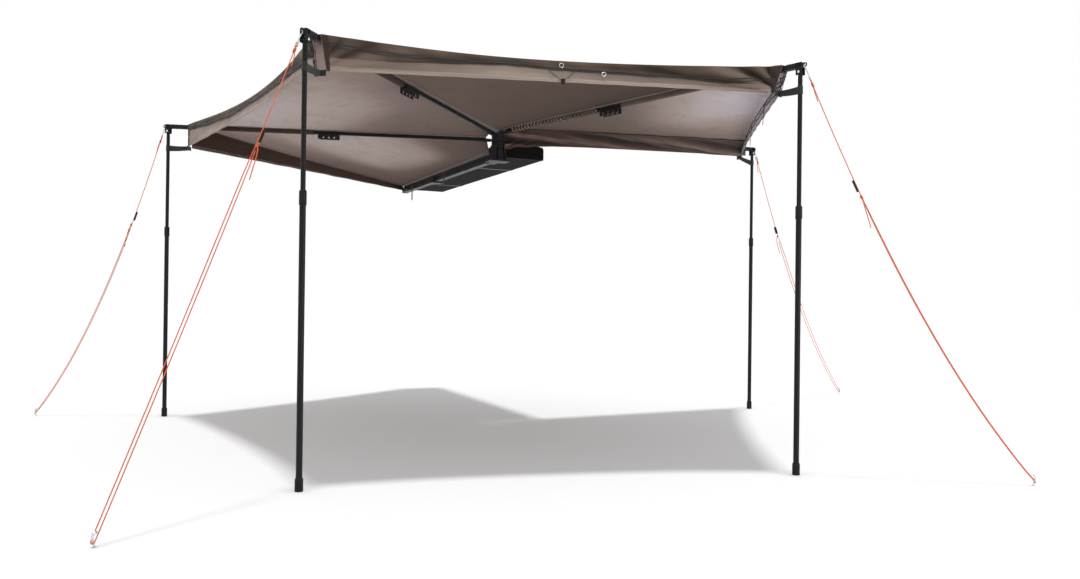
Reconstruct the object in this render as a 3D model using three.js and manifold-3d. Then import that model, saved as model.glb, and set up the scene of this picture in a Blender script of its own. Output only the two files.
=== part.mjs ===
// Fan-shaped vehicle side awning: four arms on one hub pin, telescopic legs, canvas panels and guy ropes.
// Millimetres, +Z up, +Y forward along the backbone rail, +X inboard over the roof.
// The origin is on the rear bracket's base face, under the hub pin; the ground is mountHeight below it.
import * as THREE from 'three';
import { mergeVertices } from 'three/addons/utils/BufferGeometryUtils.js';
import Module from 'manifold-3d';

const wasm = await Module();
wasm.setup();

// Driving dimensions
const mountHeight = 1565;
const touch = 0.3;
const overrun = 2;
const roundSides = 20;

// Arms, from the one nearest the rail round to the last; angles turn from +Y towards -X
// corner and hemBack place the canvas corner and its hem inside the leg; sag is the guy rope's slack
const arms = [
  { name: 'a', angle: 62, reach: 2030, clipAt: 1030, corner: 135, hemBack: 0, strapBelow: 104, sag: 185 },
  { name: 'b', angle: 136, reach: 1990, clipAt: 1125, corner: 75, hemBack: 35, strapBelow: 105, sag: 12 },
  { name: 'c', angle: 199.5, reach: 2000, clipAt: 895, corner: 75, hemBack: 35, strapBelow: 78, sag: 150 },
  { name: 'd', angle: 271.5, reach: 1920, clipAt: 1000, corner: 78, hemBack: 35, strapBelow: 64, sag: 170 },
];
// Each peg's distance from its leg's foot, and its bearing from the arm's own
const pegPlaces = {
  a: { out: 756, turn: 7 },
  b: { out: 875, turn: -8 },
  c: { out: 959, turn: 36 },
  d: { out: 1428, turn: 21 },
};
// How far each corner strap climbs from its leg to the canvas hem
const strapRises = { a: 0, b: 0, c: 0, d: 28 };
const tipHeight = 210;
const tipStep = 8;

// Hub: knuckles stacked on one pin
const hub = { radius: 38, pinRadius: 8, runningGap: 0.3, base: 95, discHeight: 20 };
const knuckle = { height: 21, pitch: 22, firstGap: 2, tongueLength: 78, tongueGap: 0.3 };
const cap = { radius: 26, height: 5, nutRadius: 12, nutHeight: 9 };

// Arm extrusion and what it carries
const tube = { width: 22, height: 18, wall: 2, corner: 4, hubGap: 6 };
const sleeve = { length: 130, wall: 3, fromPivot: 20, tubeEnd: 62 };
const pivot = { drop: 30, pinRadius: 4, bore: 4.3, pinOut: 4 };
const ear = { thickness: 5, halfLength: 15, below: 13, gap: 0.8 };
const eye = { out: 23, radius: 10, hole: 5, thickness: 9 };
const hook = { wire: 2.5, shank: 48, loop: 8 };
const clip = { length: 125, halfWidth: 19, cheekTop: 6, jaw: 7, seat: 5.5, legGap: 0.6 };

// Legs
const upper = { radius: 10, wall: 1.4, head: 34, shown: 585, inside: 370 };
const lower = { radius: 12.5, wall: 1.7 };
const collar = { radius: 15, height: 58, overTube: 30, gap: 0.4 };
const foot = { radius: 16.5, height: 52, floor: 8 };

// Backbone rail and its brackets
const rail = { width: 42, height: 44, base: 9, length: 1955, start: 27, slot: 9, lip: 3.5, depth: 9 };
const endCap = { thickness: 12, over: 2 };
const bracket = { baseHalf: 66, baseDepth: 92, footHalf: 52, topHalf: 36, webHalf: 26, pocket: 12 };
const shelf = { halfWidth: 24, length: 96 };
const frontBracket = { atShare: 0.595, halfWidth: 45, depth: 60, sideThickness: 6, sideTop: 42 };
const bolt = { hole: 4.5, fromEdge: 14 };

// Travel bag and its hanging straps
const bag = { start: 52, outer: 325, floor: 36, wall: 3, wallTop: 118, crown: 135 };
// The slumped top of the bag: shares of its width, and of the rise from its wall to its crown
const bagTopShares = [
  [0.86, 0.55],
  [0.62, 1],
  [0.38, 0.8],
  [0.16, 0.6],
];
const tail = { width: 25, thickness: 1.6, top: 42 };
const tails = [
  { name: 'bag_strap_rear', atShare: 0.471, bottom: -50 },
  { name: 'bag_strap_front', atShare: 0.866, bottom: -74 },
];

// Canvas: each panel runs between two seams and turns down into its valance
const canvas = { thickness: 1.5, seamLift: 13.4, start: 72, seamGap: 0.5, shoulder: 18 };
const grid = { rows: 6, columns: 12, valanceRows: 3 };
const valance = { tuck: 6, hemBowShare: 0.5, ripples: 7 };
// Each valance's drops are at its first end, its middle and its last end
const panels = [
  {
    name: 'canopy_panel_front',
    from: 'rail',
    to: 'a',
    bow: 60,
    sag: 20,
    dropFirst: 32,
    dropMiddle: 68,
    dropLast: 138,
    ripple: 5,
  },
  {
    name: 'canopy_panel_ab',
    from: 'a',
    to: 'b',
    bow: 85,
    sag: 18,
    dropFirst: 133,
    dropMiddle: 95,
    dropLast: 120,
    ripple: 0,
  },
  {
    name: 'canopy_panel_bc',
    from: 'b',
    to: 'c',
    bow: 105,
    sag: 18,
    dropFirst: 136,
    dropMiddle: 94,
    dropLast: 120,
    ripple: 0,
  },
  {
    name: 'canopy_panel_cd',
    from: 'c',
    to: 'd',
    bow: 40,
    sag: 18,
    dropFirst: 118,
    dropMiddle: 90,
    dropLast: 66,
    ripple: 0,
  },
];
const railSeam = { lift: 4, inset: 20, clear: 4 };
const skirt = { drop: 58, gather: 55, gatherPower: 8, side: 24, ripple: 6, folds: 6, rows: 4, columns: 26 };
const strap = { height: 34, thickness: 2, innerHeight: 25, gap: 0.5, wing: 16, short: 4 };

// Guy ropes, their slide tensioners and pegs
const rope = { radius: 2, sides: 8, stepsPerPoint: 2 };
const tensioner = { share: 0.2, length: 55, width: 18, thickness: 6, hole: 3.2 };
const peg = { wire: 3.5, shank: 34, lean: 76, hookRadius: 10, ropeAt: 20, sides: 8 };
// Each point: share of the way from the hook to the peg, then mm onward and to the side; roundPeg is the
// furthest onward, which each rope brings up against its own peg
const roundPeg = 9;
const guyRoute = [
  [0, 0, 0],
  [0.03, 0, 0],
  [0.08, 0, 0],
  [0.14, 0, 0],
  [0.2, 0, 0],
  [0.23, 0, -1],
  [0.26, 0, -5],
  [0.3, 0, -8],
  [0.4, 0, -9],
  [0.5, 0, -9],
  [0.6, 0, -9],
  [0.7, 0, -9],
  [0.8, 0, -9],
  [0.9, 0, -9],
  [0.97, 0, -9],
  [1, -6, -9],
  [1, 2, -8.5],
  [1, 7, -5],
  [1, roundPeg, 0],
  [1, 7, 5],
  [1, 2, 8.5],
  [1, -6, 9],
  [0.97, 0, 9],
  [0.9, 0, 9],
  [0.8, 0, 9],
  [0.7, 0, 9],
  [0.6, 0, 9],
  [0.5, 0, 9],
  [0.4, 0, 9],
  [0.3, 0, 8],
  [0.25, 0, 6.5],
];

// Colours of the finishes
const black = { color: 0x17181a, roughness: 0.45, metalness: 0.35 };
const plastic = { color: 0x1c1d1e, roughness: 0.6, metalness: 0 };
const rubber = { color: 0x141414, roughness: 0.85, metalness: 0 };
const canvasBrown = { color: 0x6f6055, roughness: 0.9, metalness: 0 };
const webbing = { color: 0x161616, roughness: 0.85, metalness: 0 };
const orange = { color: 0xd9542b, roughness: 0.7, metalness: 0 };
const steel = { color: 0xb9bcc0, roughness: 0.3, metalness: 1 };

// Derived places
arms.forEach((arm, i) => {
  arm.hubZ = hub.base + hub.discHeight + knuckle.firstGap + knuckle.height / 2 + i * knuckle.pitch;
  arm.slope = Math.atan((tipHeight + i * tipStep - arm.hubZ) / arm.reach);
  arm.turn = THREE.MathUtils.degToRad(arm.angle);
  arm.length = (arm.reach - pivot.drop * Math.sin(arm.slope)) / Math.cos(arm.slope);
  arm.pivotZ = arm.hubZ + arm.length * Math.sin(arm.slope) - pivot.drop * Math.cos(arm.slope);
});
const armOf = (name) => arms.find((arm) => arm.name === name);

// Solids

function toManifold(geometry) {
  const g = geometry.index ? geometry.toNonIndexed() : geometry.clone();
  g.deleteAttribute('normal');
  g.deleteAttribute('uv');
  const merged = mergeVertices(g, 1e-4);
  return new wasm.Manifold(new wasm.Mesh({
    numProp: 3,
    vertProperties: new Float32Array(merged.attributes.position.array),
    triVerts: new Uint32Array(merged.index.array),
  }));
}

function toGeometry(manifold) {
  const mesh = manifold.getMesh();
  const g = new THREE.BufferGeometry();
  g.setAttribute('position', new THREE.BufferAttribute(new Float32Array(mesh.vertProperties), 3));
  g.setIndex(new THREE.BufferAttribute(new Uint32Array(mesh.triVerts), 1));
  return g;
}

function join(...geometries) {
  return toGeometry(geometries.map(toManifold).reduce((sum, next) => sum.add(next)));
}

function cut(body, ...tools) {
  return toGeometry(tools.map(toManifold).reduce((left, next) => left.subtract(next), toManifold(body)));
}

function box(x, y, z) {
  const g = new THREE.BoxGeometry(x[1] - x[0], y[1] - y[0], z[1] - z[0]);
  return g.translate((x[0] + x[1]) / 2, (y[0] + y[1]) / 2, (z[0] + z[1]) / 2);
}

function rodZ(radius, low, high, sides = roundSides) {
  const g = new THREE.CylinderGeometry(radius, radius, high - low, sides).rotateX(Math.PI / 2);
  return g.translate(0, 0, (low + high) / 2);
}

function rodX(radius, halfLength, sides = roundSides) {
  return new THREE.CylinderGeometry(radius, radius, 2 * halfLength, sides).rotateZ(Math.PI / 2);
}

// A closed profile of [radius, height] points turned about Z
function turned(profile, sides = roundSides) {
  const points = profile.map(([radius, height]) => new THREE.Vector2(radius, height));
  return new THREE.LatheGeometry([...points, points[0]], sides).rotateX(Math.PI / 2);
}

// An outline of [x, z] points pushed along +Y
function extrudeY(outline, length, holes = []) {
  const shape = new THREE.Shape(outline.map(([x, z]) => new THREE.Vector2(x, z)));
  for (const hole of holes) shape.holes.push(new THREE.Path(hole.map(([x, z]) => new THREE.Vector2(x, z))));
  const g = new THREE.ExtrudeGeometry(shape, { depth: length, bevelEnabled: false, curveSegments: 4 });
  return g.rotateX(Math.PI / 2).translate(0, length, 0);
}

function roundedOutline(halfWidth, halfHeight, corner) {
  const points = [];
  const quarter = Math.PI / 2;
  for (let side = 0; side < 4; side += 1) {
    const cx = (side === 0 || side === 3 ? 1 : -1) * (halfWidth - corner);
    const cz = (side < 2 ? 1 : -1) * (halfHeight - corner);
    for (const share of [0, 0.5, 1]) {
      const a = quarter * (side + share);
      points.push([cx + corner * Math.cos(a), cz + corner * Math.sin(a)]);
    }
  }
  return points;
}

// A route whose steps fall evenly between its own points, so that tight turns keep their shape
class RouteCurve extends THREE.CatmullRomCurve3 {
  getPointAt(u, target) {
    return this.getPoint(u, target);
  }

  getTangentAt(u, target) {
    return this.getTangent(u, target);
  }
}

function wire(points, radius, sides, stepsPerPoint) {
  const section = new THREE.Shape();
  section.absarc(0, 0, radius, 0, 2 * Math.PI);
  return new THREE.ExtrudeGeometry(section, {
    steps: (points.length - 1) * stepsPerPoint,
    extrudePath: new RouteCurve(points, false, 'centripetal'),
    bevelEnabled: false,
    curveSegments: sides / 2,
  });
}

// A sheet: a grid of middle points, thickened by half its thickness to each side
function sheet(points, thickness) {
  const rows = points.length;
  const columns = points[0].length;
  const at = (i, j) => points[Math.min(Math.max(i, 0), rows - 1)][Math.min(Math.max(j, 0), columns - 1)];
  const normal = (i, j) => {
    const along = at(i + 1, j).clone().sub(at(i - 1, j));
    const across = at(i, j + 1).clone().sub(at(i, j - 1));
    return along.cross(across).normalize();
  };
  const position = [];
  for (const side of [1, -1]) {
    for (let i = 0; i < rows; i += 1) {
      for (let j = 0; j < columns; j += 1) {
        const p = at(i, j).clone().addScaledVector(normal(i, j), (side * thickness) / 2);
        position.push(p.x, p.y, p.z);
      }
    }
  }
  const index = [];
  const upside = (i, j) => i * columns + j;
  const under = (i, j) => rows * columns + upside(i, j);
  const quad = (a, b, c, d) => index.push(a, b, c, a, c, d);
  for (let i = 0; i < rows - 1; i += 1) {
    for (let j = 0; j < columns - 1; j += 1) {
      quad(upside(i, j), upside(i + 1, j), upside(i + 1, j + 1), upside(i, j + 1));
      quad(under(i, j), under(i, j + 1), under(i + 1, j + 1), under(i + 1, j));
    }
  }
  for (let i = 0; i < rows - 1; i += 1) {
    quad(upside(i, 0), under(i, 0), under(i + 1, 0), upside(i + 1, 0));
    const last = columns - 1;
    quad(upside(i + 1, last), under(i + 1, last), under(i, last), upside(i, last));
  }
  for (let j = 0; j < columns - 1; j += 1) {
    quad(upside(0, j + 1), under(0, j + 1), under(0, j), upside(0, j));
    quad(upside(rows - 1, j), under(rows - 1, j), under(rows - 1, j + 1), upside(rows - 1, j + 1));
  }
  const g = new THREE.BufferGeometry();
  g.setAttribute('position', new THREE.Float32BufferAttribute(position, 3));
  g.setIndex(index);
  return g;
}

// Hub, rail and brackets

function hubBracket() {
  const { baseHalf, baseDepth, footHalf, topHalf, webHalf, pocket } = bracket;
  const baseHeight = rail.base - touch;
  const base = box([-baseHalf, baseHalf], [-baseDepth / 2, baseDepth / 2], [0, baseHeight]);
  const webTop = hub.base + overrun;
  const outline = [[-footHalf, 0], [footHalf, 0], [topHalf, webTop], [-topHalf, webTop]];
  const web = extrudeY(outline, 2 * webHalf).translate(0, -webHalf, 0);
  const disc = rodZ(hub.radius, hub.base, hub.base + hub.discHeight, 2 * roundSides);
  const ledge = box([-shelf.halfWidth, shelf.halfWidth], [0, webHalf + shelf.length], [0, baseHeight]);
  const rib = pocket / 2;
  const pockets = [1, -1].map((side) => {
    const hollow = [
      [side * rib, baseHeight + rib],
      [side * (footHalf - pocket), baseHeight + rib],
      [side * (topHalf - rib), hub.base - pocket],
      [side * rib, hub.base - pocket],
    ];
    const ordered = side > 0 ? hollow : hollow.reverse();
    return extrudeY(ordered, pocket + overrun).translate(0, -webHalf - overrun, 0);
  });
  const bore = rodZ(hub.pinRadius + hub.runningGap, hub.base - pocket, hub.base + hub.discHeight + overrun);
  const boltHoles = [1, -1].map((side) =>
    rodZ(bolt.hole, -overrun, baseHeight + overrun)
      .translate(side * (baseHalf - bolt.fromEdge), -(baseDepth / 2 - bolt.fromEdge), 0));
  return cut(join(base, web, disc, ledge), ...pockets, bore, ...boltHoles);
}

function stackTop() {
  const last = arms[arms.length - 1];
  return last.hubZ + knuckle.height / 2;
}

function hubPin() {
  const low = hub.base - bracket.pocket + touch;
  const top = stackTop() + hub.runningGap;
  return turned([
    [0, low],
    [hub.pinRadius, low],
    [hub.pinRadius, top],
    [cap.radius, top],
    [cap.radius, top + cap.height],
    [cap.nutRadius, top + cap.height],
    [cap.nutRadius, top + cap.height + cap.nutHeight],
    [0, top + cap.height + cap.nutHeight],
  ]);
}

function backboneRail() {
  const half = rail.width / 2;
  const top = rail.height;
  const { slot, lip, depth } = rail;
  const middle = top / 2;
  const outline = [
    [-half, 0],
    [half, 0],
    [half, middle - slot / 2],
    [half - lip, middle - slot / 2],
    [half - lip, middle - slot],
    [half - depth, middle - slot],
    [half - depth, middle + slot],
    [half - lip, middle + slot],
    [half - lip, middle + slot / 2],
    [half, middle + slot / 2],
    [half, top],
    [-half, top],
    [-half, middle + slot],
    [-half + lip, middle + slot],
    [-half + lip, middle + slot + lip],
    [-half + depth, middle + slot + lip],
    [-half + depth, middle - slot - lip],
    [-half + lip, middle - slot - lip],
    [-half + lip, middle - slot],
    [-half, middle - slot],
  ];
  return extrudeY(outline, rail.length).translate(0, rail.start, rail.base);
}

function railEndCap() {
  const outline = roundedOutline(rail.width / 2 + endCap.over, rail.height / 2 + endCap.over, tube.corner);
  const y = rail.start + rail.length + touch;
  return extrudeY(outline, endCap.thickness).translate(0, y, rail.base + rail.height / 2);
}

function frontMountBracket() {
  const { atShare, halfWidth, depth, sideThickness, sideTop } = frontBracket;
  const at = rail.start + atShare * rail.length;
  const across = [at - depth / 2, at + depth / 2];
  const plate = rail.base - touch;
  const base = box([-halfWidth, halfWidth], across, [0, plate]);
  const outside = -rail.width / 2 - touch;
  const side = box([outside - sideThickness, outside], across, [0, sideTop]);
  const holes = [1, -1].map((s) =>
    rodZ(bolt.hole, -overrun, plate + overrun).translate(s * (halfWidth - bolt.fromEdge / 2), at, 0));
  return cut(join(base, side), ...holes);
}

function travelBag() {
  const { outer, floor, wall, wallTop, crown } = bag;
  const inner = rail.width / 2 + touch;
  const width = outer - inner;
  const skin = [
    [0, wallTop],
    [0, floor],
    [1, floor],
    [1, wallTop],
    ...bagTopShares.map(([share, rise]) => [share, wallTop + rise * (crown - wallTop)]),
  ];
  const outline = skin.map(([share, z]) => [inner + share * width, z]);
  const middle = inner + width / 2;
  const hollow = outline.map(([x, z]) => [
    x + Math.sign(middle - x) * wall,
    z >= wallTop ? z - wall - overrun : z + wall,
  ]);
  const length = rail.start + rail.length - bag.start;
  return extrudeY(outline, length, [hollow.reverse()]).translate(0, bag.start, 0);
}

function bagStrap({ atShare, bottom }) {
  const at = rail.start + atShare * rail.length;
  const x = -rail.width / 2 - touch;
  return box([x - tail.thickness, x], [at - tail.width / 2, at + tail.width / 2], [bottom, tail.top]);
}

// Arms, built along +Y from the hub axis at the knuckle's middle height

function armKnuckle(arm) {
  const disc = rodZ(hub.radius, -knuckle.height / 2, knuckle.height / 2, 2 * roundSides);
  const halfWidth = tube.width / 2 - tube.wall - knuckle.tongueGap;
  const halfHeight = tube.height / 2 - tube.wall - knuckle.tongueGap;
  const start = hub.pinRadius * 2;
  const corner = tube.corner - tube.wall - knuckle.tongueGap;
  const tongue = extrudeY(roundedOutline(halfWidth, halfHeight, corner),
    hub.radius + knuckle.tongueLength - start).translate(0, start, 0).rotateX(arm.slope);
  const bore = rodZ(hub.pinRadius + hub.runningGap, -knuckle.height, knuckle.height);
  return cut(join(disc, tongue), bore);
}

function armTube(arm) {
  const start = hub.radius + tube.hubGap;
  const end = arm.length - sleeve.tubeEnd;
  const halfWidth = tube.width / 2;
  const halfHeight = tube.height / 2;
  const outline = roundedOutline(halfWidth, halfHeight, tube.corner);
  const inner = roundedOutline(halfWidth - tube.wall, halfHeight - tube.wall, tube.corner - tube.wall);
  return extrudeY(outline, end - start, [inner.reverse()]).translate(0, start, 0);
}

function legClip() {
  const { halfWidth, cheekTop, jaw, seat, legGap } = clip;
  const armHalf = tube.width / 2 + touch;
  const legHalf = lower.radius + legGap;
  const seatTop = -tube.height / 2 - touch;
  const seatLow = seatTop - seat;
  const jawLow = -pivot.drop - jaw;
  const outline = [
    [-halfWidth, jawLow],
    [-legHalf, jawLow],
    [-legHalf, seatLow],
    [legHalf, seatLow],
    [legHalf, jawLow],
    [halfWidth, jawLow],
    [halfWidth, cheekTop],
    [armHalf, cheekTop],
    [armHalf, seatTop],
    [-armHalf, seatTop],
    [-armHalf, cheekTop],
    [-halfWidth, cheekTop],
  ];
  return extrudeY(outline, clip.length).translate(0, -clip.length / 2, 0);
}

// Frames: a point given across, along and above a sloped arm, in the part's frame, and back
function armMatrix(arm) {
  const slope = new THREE.Matrix4().makeRotationX(arm.slope);
  const lift = new THREE.Matrix4().makeTranslation(0, 0, arm.hubZ);
  const turn = new THREE.Matrix4().makeRotationZ(arm.turn);
  return turn.multiply(lift).multiply(slope);
}

function onArm(arm, x, y, z) {
  return new THREE.Vector3(x, y, z).applyMatrix4(armMatrix(arm));
}

// The guy runs from the end fitting's eye to the turn round its peg
function guyLine(arm) {
  const eyePoint = onArm(arm, 0, arm.length + eye.out, -(eye.radius + eye.hole) / 2);
  const out = new THREE.Vector3(0, 1, 0).applyAxisAngle(new THREE.Vector3(0, 0, 1),
    arm.turn + THREE.MathUtils.degToRad(pegPlaces[arm.name].turn));
  const lean = THREE.MathUtils.degToRad(peg.lean);
  const pegFoot = new THREE.Vector3(0, arm.reach, -mountHeight)
    .applyAxisAngle(new THREE.Vector3(0, 0, 1), arm.turn)
    .addScaledVector(out, pegPlaces[arm.name].out);
  const shankDirection = out.clone().multiplyScalar(Math.cos(lean));
  shankDirection.z += Math.sin(lean);
  const turnPoint = pegFoot.clone().addScaledVector(shankDirection, peg.ropeAt);
  const along = turnPoint.clone().sub(eyePoint).normalize();
  const side = new THREE.Vector3(0, 0, 1).cross(along).normalize();
  const hang = turnPoint.clone().sub(eyePoint).sub(new THREE.Vector3(0, 0, 4 * arm.sag)).normalize();
  const off = hang.clone().cross(side).normalize();
  const start = eyePoint.clone().addScaledVector(hang, hook.shank + 2 * hook.loop + hook.wire + touch);
  return { eyePoint, out, pegFoot, shankDirection, turnPoint, along, side, hang, off, start };
}

function endFitting(arm) {
  const length = arm.length;
  const halfWidth = tube.width / 2 + touch + sleeve.wall;
  const halfHeight = tube.height / 2 + sleeve.wall;
  const from = length - sleeve.fromPivot - sleeve.length;
  const to = length - sleeve.fromPivot;
  const body = extrudeY(roundedOutline(halfWidth, halfHeight, tube.corner), to - from).translate(0, from, 0);
  const bore = box([-tube.width / 2 - touch, tube.width / 2 + touch],
    [from - overrun, length - sleeve.tubeEnd + touch], [-tube.height / 2 - touch, tube.height / 2 + touch]);
  const earIn = upper.radius + ear.gap;
  const earOut = earIn + ear.thickness;
  const crown = box([-earOut, earOut], [to - overrun, length + ear.halfLength], [-halfHeight, halfHeight]);
  const cheeks = [1, -1].map((s) => box([Math.min(s * earIn, s * earOut), Math.max(s * earIn, s * earOut)],
    [length - ear.halfLength, length + ear.halfLength], [-pivot.drop - ear.below, halfHeight]));
  const pin = rodX(pivot.pinRadius, earOut + pivot.pinOut, roundSides / 2).translate(0, length, -pivot.drop);
  const ring = rodX(eye.radius, eye.thickness / 2).translate(0, length + eye.out, 0);
  const neckHalf = eye.thickness / 2;
  const neck = box([-neckHalf, neckHalf], [length, length + eye.out], [-eye.hole, eye.hole]);
  const hole = rodX(eye.hole, eye.thickness).translate(0, length + eye.out, 0);
  const room = box([-earIn, earIn], [length - ear.halfLength - overrun, length + ear.halfLength + overrun],
    [-pivot.drop - ear.below - overrun, -halfHeight - touch]);
  const shell = cut(join(body, crown, ...cheeks, ring, neck), bore, hole, room);
  return join(shell, pin, steelHook(arm));
}

// The hook hangs from the eye's lower limb towards the peg
function steelHook(arm) {
  const toArm = armMatrix(arm).invert();
  const line = guyLine(arm);
  const low = line.eyePoint.clone().addScaledVector(line.hang, hook.shank);
  const points = [line.eyePoint, line.eyePoint.clone().lerp(low, 1 / 2), low];
  const shank = wire(points.map((p) => p.applyMatrix4(toArm)), hook.wire, rope.sides, 1);
  const loopMiddle = line.start.clone().addScaledVector(line.hang, -hook.loop - hook.wire - touch);
  const facing = new THREE.Quaternion().setFromUnitVectors(new THREE.Vector3(0, 0, 1), line.off);
  const loop = new THREE.TorusGeometry(hook.loop, hook.wire, rope.sides, roundSides / 2)
    .applyQuaternion(facing)
    .translate(loopMiddle.x, loopMiddle.y, loopMiddle.z)
    .applyMatrix4(toArm);
  return join(shank, loop);
}

// Legs, built downwards from the pivot

function upperTube() {
  const inner = upper.radius - upper.wall;
  const low = -(upper.shown + collar.height + upper.inside);
  const { radius, head: top } = upper;
  const pipe = turned([[inner, low], [radius, low], [radius, -top], [inner, -top]]);
  const plug = rodZ(upper.radius, -upper.head - overrun, 0);
  const head = rodX(upper.radius, upper.radius);
  const bore = rodX(pivot.bore, upper.radius + overrun, roundSides / 2);
  return cut(join(pipe, plug, head), bore);
}

function twistCollar() {
  const top = -upper.shown;
  const low = top - collar.height;
  const step = low + collar.overTube;
  const narrow = upper.radius + collar.gap;
  const wide = lower.radius + collar.gap;
  return turned([
    [wide, low],
    [collar.radius, low],
    [collar.radius, top],
    [narrow, top],
    [narrow, step],
    [wide, step],
  ]);
}

function lowerTube(arm) {
  const top = -upper.shown - collar.height + collar.overTube - touch;
  const low = -(arm.pivotZ + mountHeight) + foot.floor + touch;
  const inner = lower.radius - lower.wall;
  return turned([[inner, low], [lower.radius, low], [lower.radius, top], [inner, top]]);
}

function footGeometry(arm) {
  const low = -(arm.pivotZ + mountHeight);
  const bore = lower.radius + touch;
  return turned([
    [0, low],
    [foot.radius, low],
    [foot.radius, low + foot.height],
    [bore, low + foot.height],
    [bore, low + foot.floor],
    [0, low + foot.floor],
  ]);
}

function cornerStrap(arm) {
  const inner = upper.radius + strap.gap;
  const outer = inner + strap.thickness;
  const low = -arm.strapBelow - strap.height / 2;
  const length = arm.corner + arm.hemBack - strap.short;
  const ring = rodZ(outer, low, low + strap.height);
  const hole = rodZ(inner, low - overrun, low + strap.height + overrun);
  const taper = (strap.height - strap.innerHeight) / 2;
  const hemLow = low + taper + strapRises[arm.name];
  const band = new THREE.Shape([
    new THREE.Vector2(-inner, low),
    new THREE.Vector2(-length, hemLow),
    new THREE.Vector2(-length, hemLow + strap.innerHeight),
    new THREE.Vector2(-inner, low + strap.height),
  ].reverse());
  const tongue = new THREE.ExtrudeGeometry(band, { depth: strap.thickness, bevelEnabled: false })
    .translate(0, 0, -strap.thickness / 2)
    .rotateX(Math.PI / 2)
    .rotateZ(Math.PI / 2);
  const wings = box([-strap.wing, strap.wing], [-length - strap.thickness, -length],
    [hemLow, hemLow + strap.innerHeight]);
  return join(cut(ring, hole), tongue, wings);
}

// Canvas

// The start and end of a line beside an arm's middle, or the rail's; side is +1 where a panel begins
function edgeLine(name, side, offset) {
  if (name === 'rail') {
    const z = rail.base + rail.height + railSeam.lift;
    const end = rail.start + rail.length - railSeam.inset;
    return [canvas.start, end].map((y) => new THREE.Vector3(-offset, y, z));
  }
  const arm = armOf(name);
  return [canvas.start, arm.length - arm.corner].map((y) => onArm(arm, -side * offset, y, canvas.seamLift));
}

// Flat over each arm from the seam to the shoulder, and between the shoulders bowed inwards and sagging
function shoulderLines(panel) {
  const beside = (name) => (name === 'rail' ? rail.width / 2 + railSeam.clear : canvas.shoulder);
  return [edgeLine(panel.from, 1, beside(panel.from)), edgeLine(panel.to, -1, beside(panel.to))];
}

function inwards(ends) {
  return ends[0][1].clone().add(ends[1][1]).setZ(0).normalize().negate();
}

function columnShares() {
  return Array.from({ length: grid.columns + 1 }, (_, j) => j / grid.columns);
}

function panelGrid(panel) {
  const ends = shoulderLines(panel);
  const inward = inwards(ends);
  const seams = [edgeLine(panel.from, 1, canvas.seamGap), edgeLine(panel.to, -1, canvas.seamGap)];
  return Array.from({ length: grid.rows + 1 }, (_, i) => {
    const out = i / grid.rows;
    const [a, b] = ends.map(([start, end]) => start.clone().lerp(end, out));
    const middle = columnShares().map((s) => {
      const arch = 4 * s * (1 - s);
      return a.clone().lerp(b, s)
        .addScaledVector(inward, panel.bow * arch * out ** 2)
        .sub(new THREE.Vector3(0, 0, panel.sag * arch * out));
    });
    const [seamA, seamB] = seams.map(([start, end]) => start.clone().lerp(end, out));
    return [seamA, ...middle, seamB];
  });
}

function valanceGrid(panel) {
  const ends = shoulderLines(panel);
  const inward = inwards(ends);
  const edge = panelGrid(panel)[grid.rows].slice(1, -1);
  const away = ends[1][1].clone().sub(ends[0][1]).normalize();
  const hems = [panel.from, panel.to].map((name, i) => {
    const back = name === 'rail' ? 0 : armOf(name).hemBack;
    return ends[i][1].clone().addScaledVector(ends[i][1].clone().sub(ends[i][0]).normalize(), -back);
  });
  const { dropFirst: first, dropMiddle: middle, dropLast: last } = panel;
  return Array.from({ length: grid.valanceRows + 1 }, (_, k) => {
    const fall = k / grid.valanceRows;
    return edge.map((top, j) => {
      const s = columnShares()[j];
      const arch = 4 * s * (1 - s);
      const drop = first + (last - first) * s + (middle - (first + last) / 2) * arch;
      const hem = hems[0].clone().lerp(hems[1], s)
        .addScaledVector(inward, panel.bow * valance.hemBowShare * arch)
        .addScaledVector(away, valance.tuck * (1 - 2 * s))
        .sub(new THREE.Vector3(0, 0, drop + panel.sag * arch));
      const wave = Math.sin(2 * Math.PI * valance.ripples * s) * panel.ripple * fall * arch;
      return top.clone().lerp(hem, fall).addScaledVector(inward, wave);
    });
  });
}

// The last arm's own skirt hangs from the far side of its seam, with soft folds
function skirtGrid(arm) {
  const start = canvas.start;
  const end = arm.length - arm.corner;
  const turns = [[canvas.seamGap + overrun, 0], [-skirt.side / 2, 0]];
  for (let k = 0; k <= skirt.rows; k += 1) turns.push([-skirt.side, k / skirt.rows]);
  return turns.map(([x, fall]) => Array.from({ length: skirt.columns + 1 }, (_, j) => {
    const s = j / skirt.columns;
    const swing = Math.sin(2 * Math.PI * skirt.folds * s) * skirt.ripple * fall;
    const drop = fall * (skirt.drop + skirt.gather * (1 - s) ** skirt.gatherPower);
    const turnDown = x === -skirt.side ? canvas.seamLift / 2 : 0;
    return onArm(arm, x - swing, start + s * (end - start), canvas.seamLift - turnDown - drop);
  }));
}

function canopyPanel(panel) {
  const skin = join(sheet(panelGrid(panel), canvas.thickness), sheet(valanceGrid(panel), canvas.thickness));
  const last = arms[arms.length - 1];
  return panel.to === last.name ? join(skin, sheet(skirtGrid(last), canvas.thickness)) : skin;
}

// Guy ropes, tensioners and pegs

function guyRope(arm) {
  const line = guyLine(arm);
  const crossing = line.along.angleTo(line.shankDirection);
  const snug = (peg.wire + rope.radius + touch) / Math.sin(crossing) / roundPeg;
  const points = guyRoute.map(([share, onward, sideways]) => onRope(arm, line, share)
    .addScaledVector(line.along, onward * snug)
    .addScaledVector(line.side, sideways));
  return wire(points, rope.radius, rope.sides, rope.stepsPerPoint);
}

// A point on the slack rope's middle line
function onRope(arm, line, share) {
  const point = line.start.clone().lerp(line.turnPoint, share);
  point.z -= 4 * arm.sag * share * (1 - share);
  return point;
}

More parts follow.
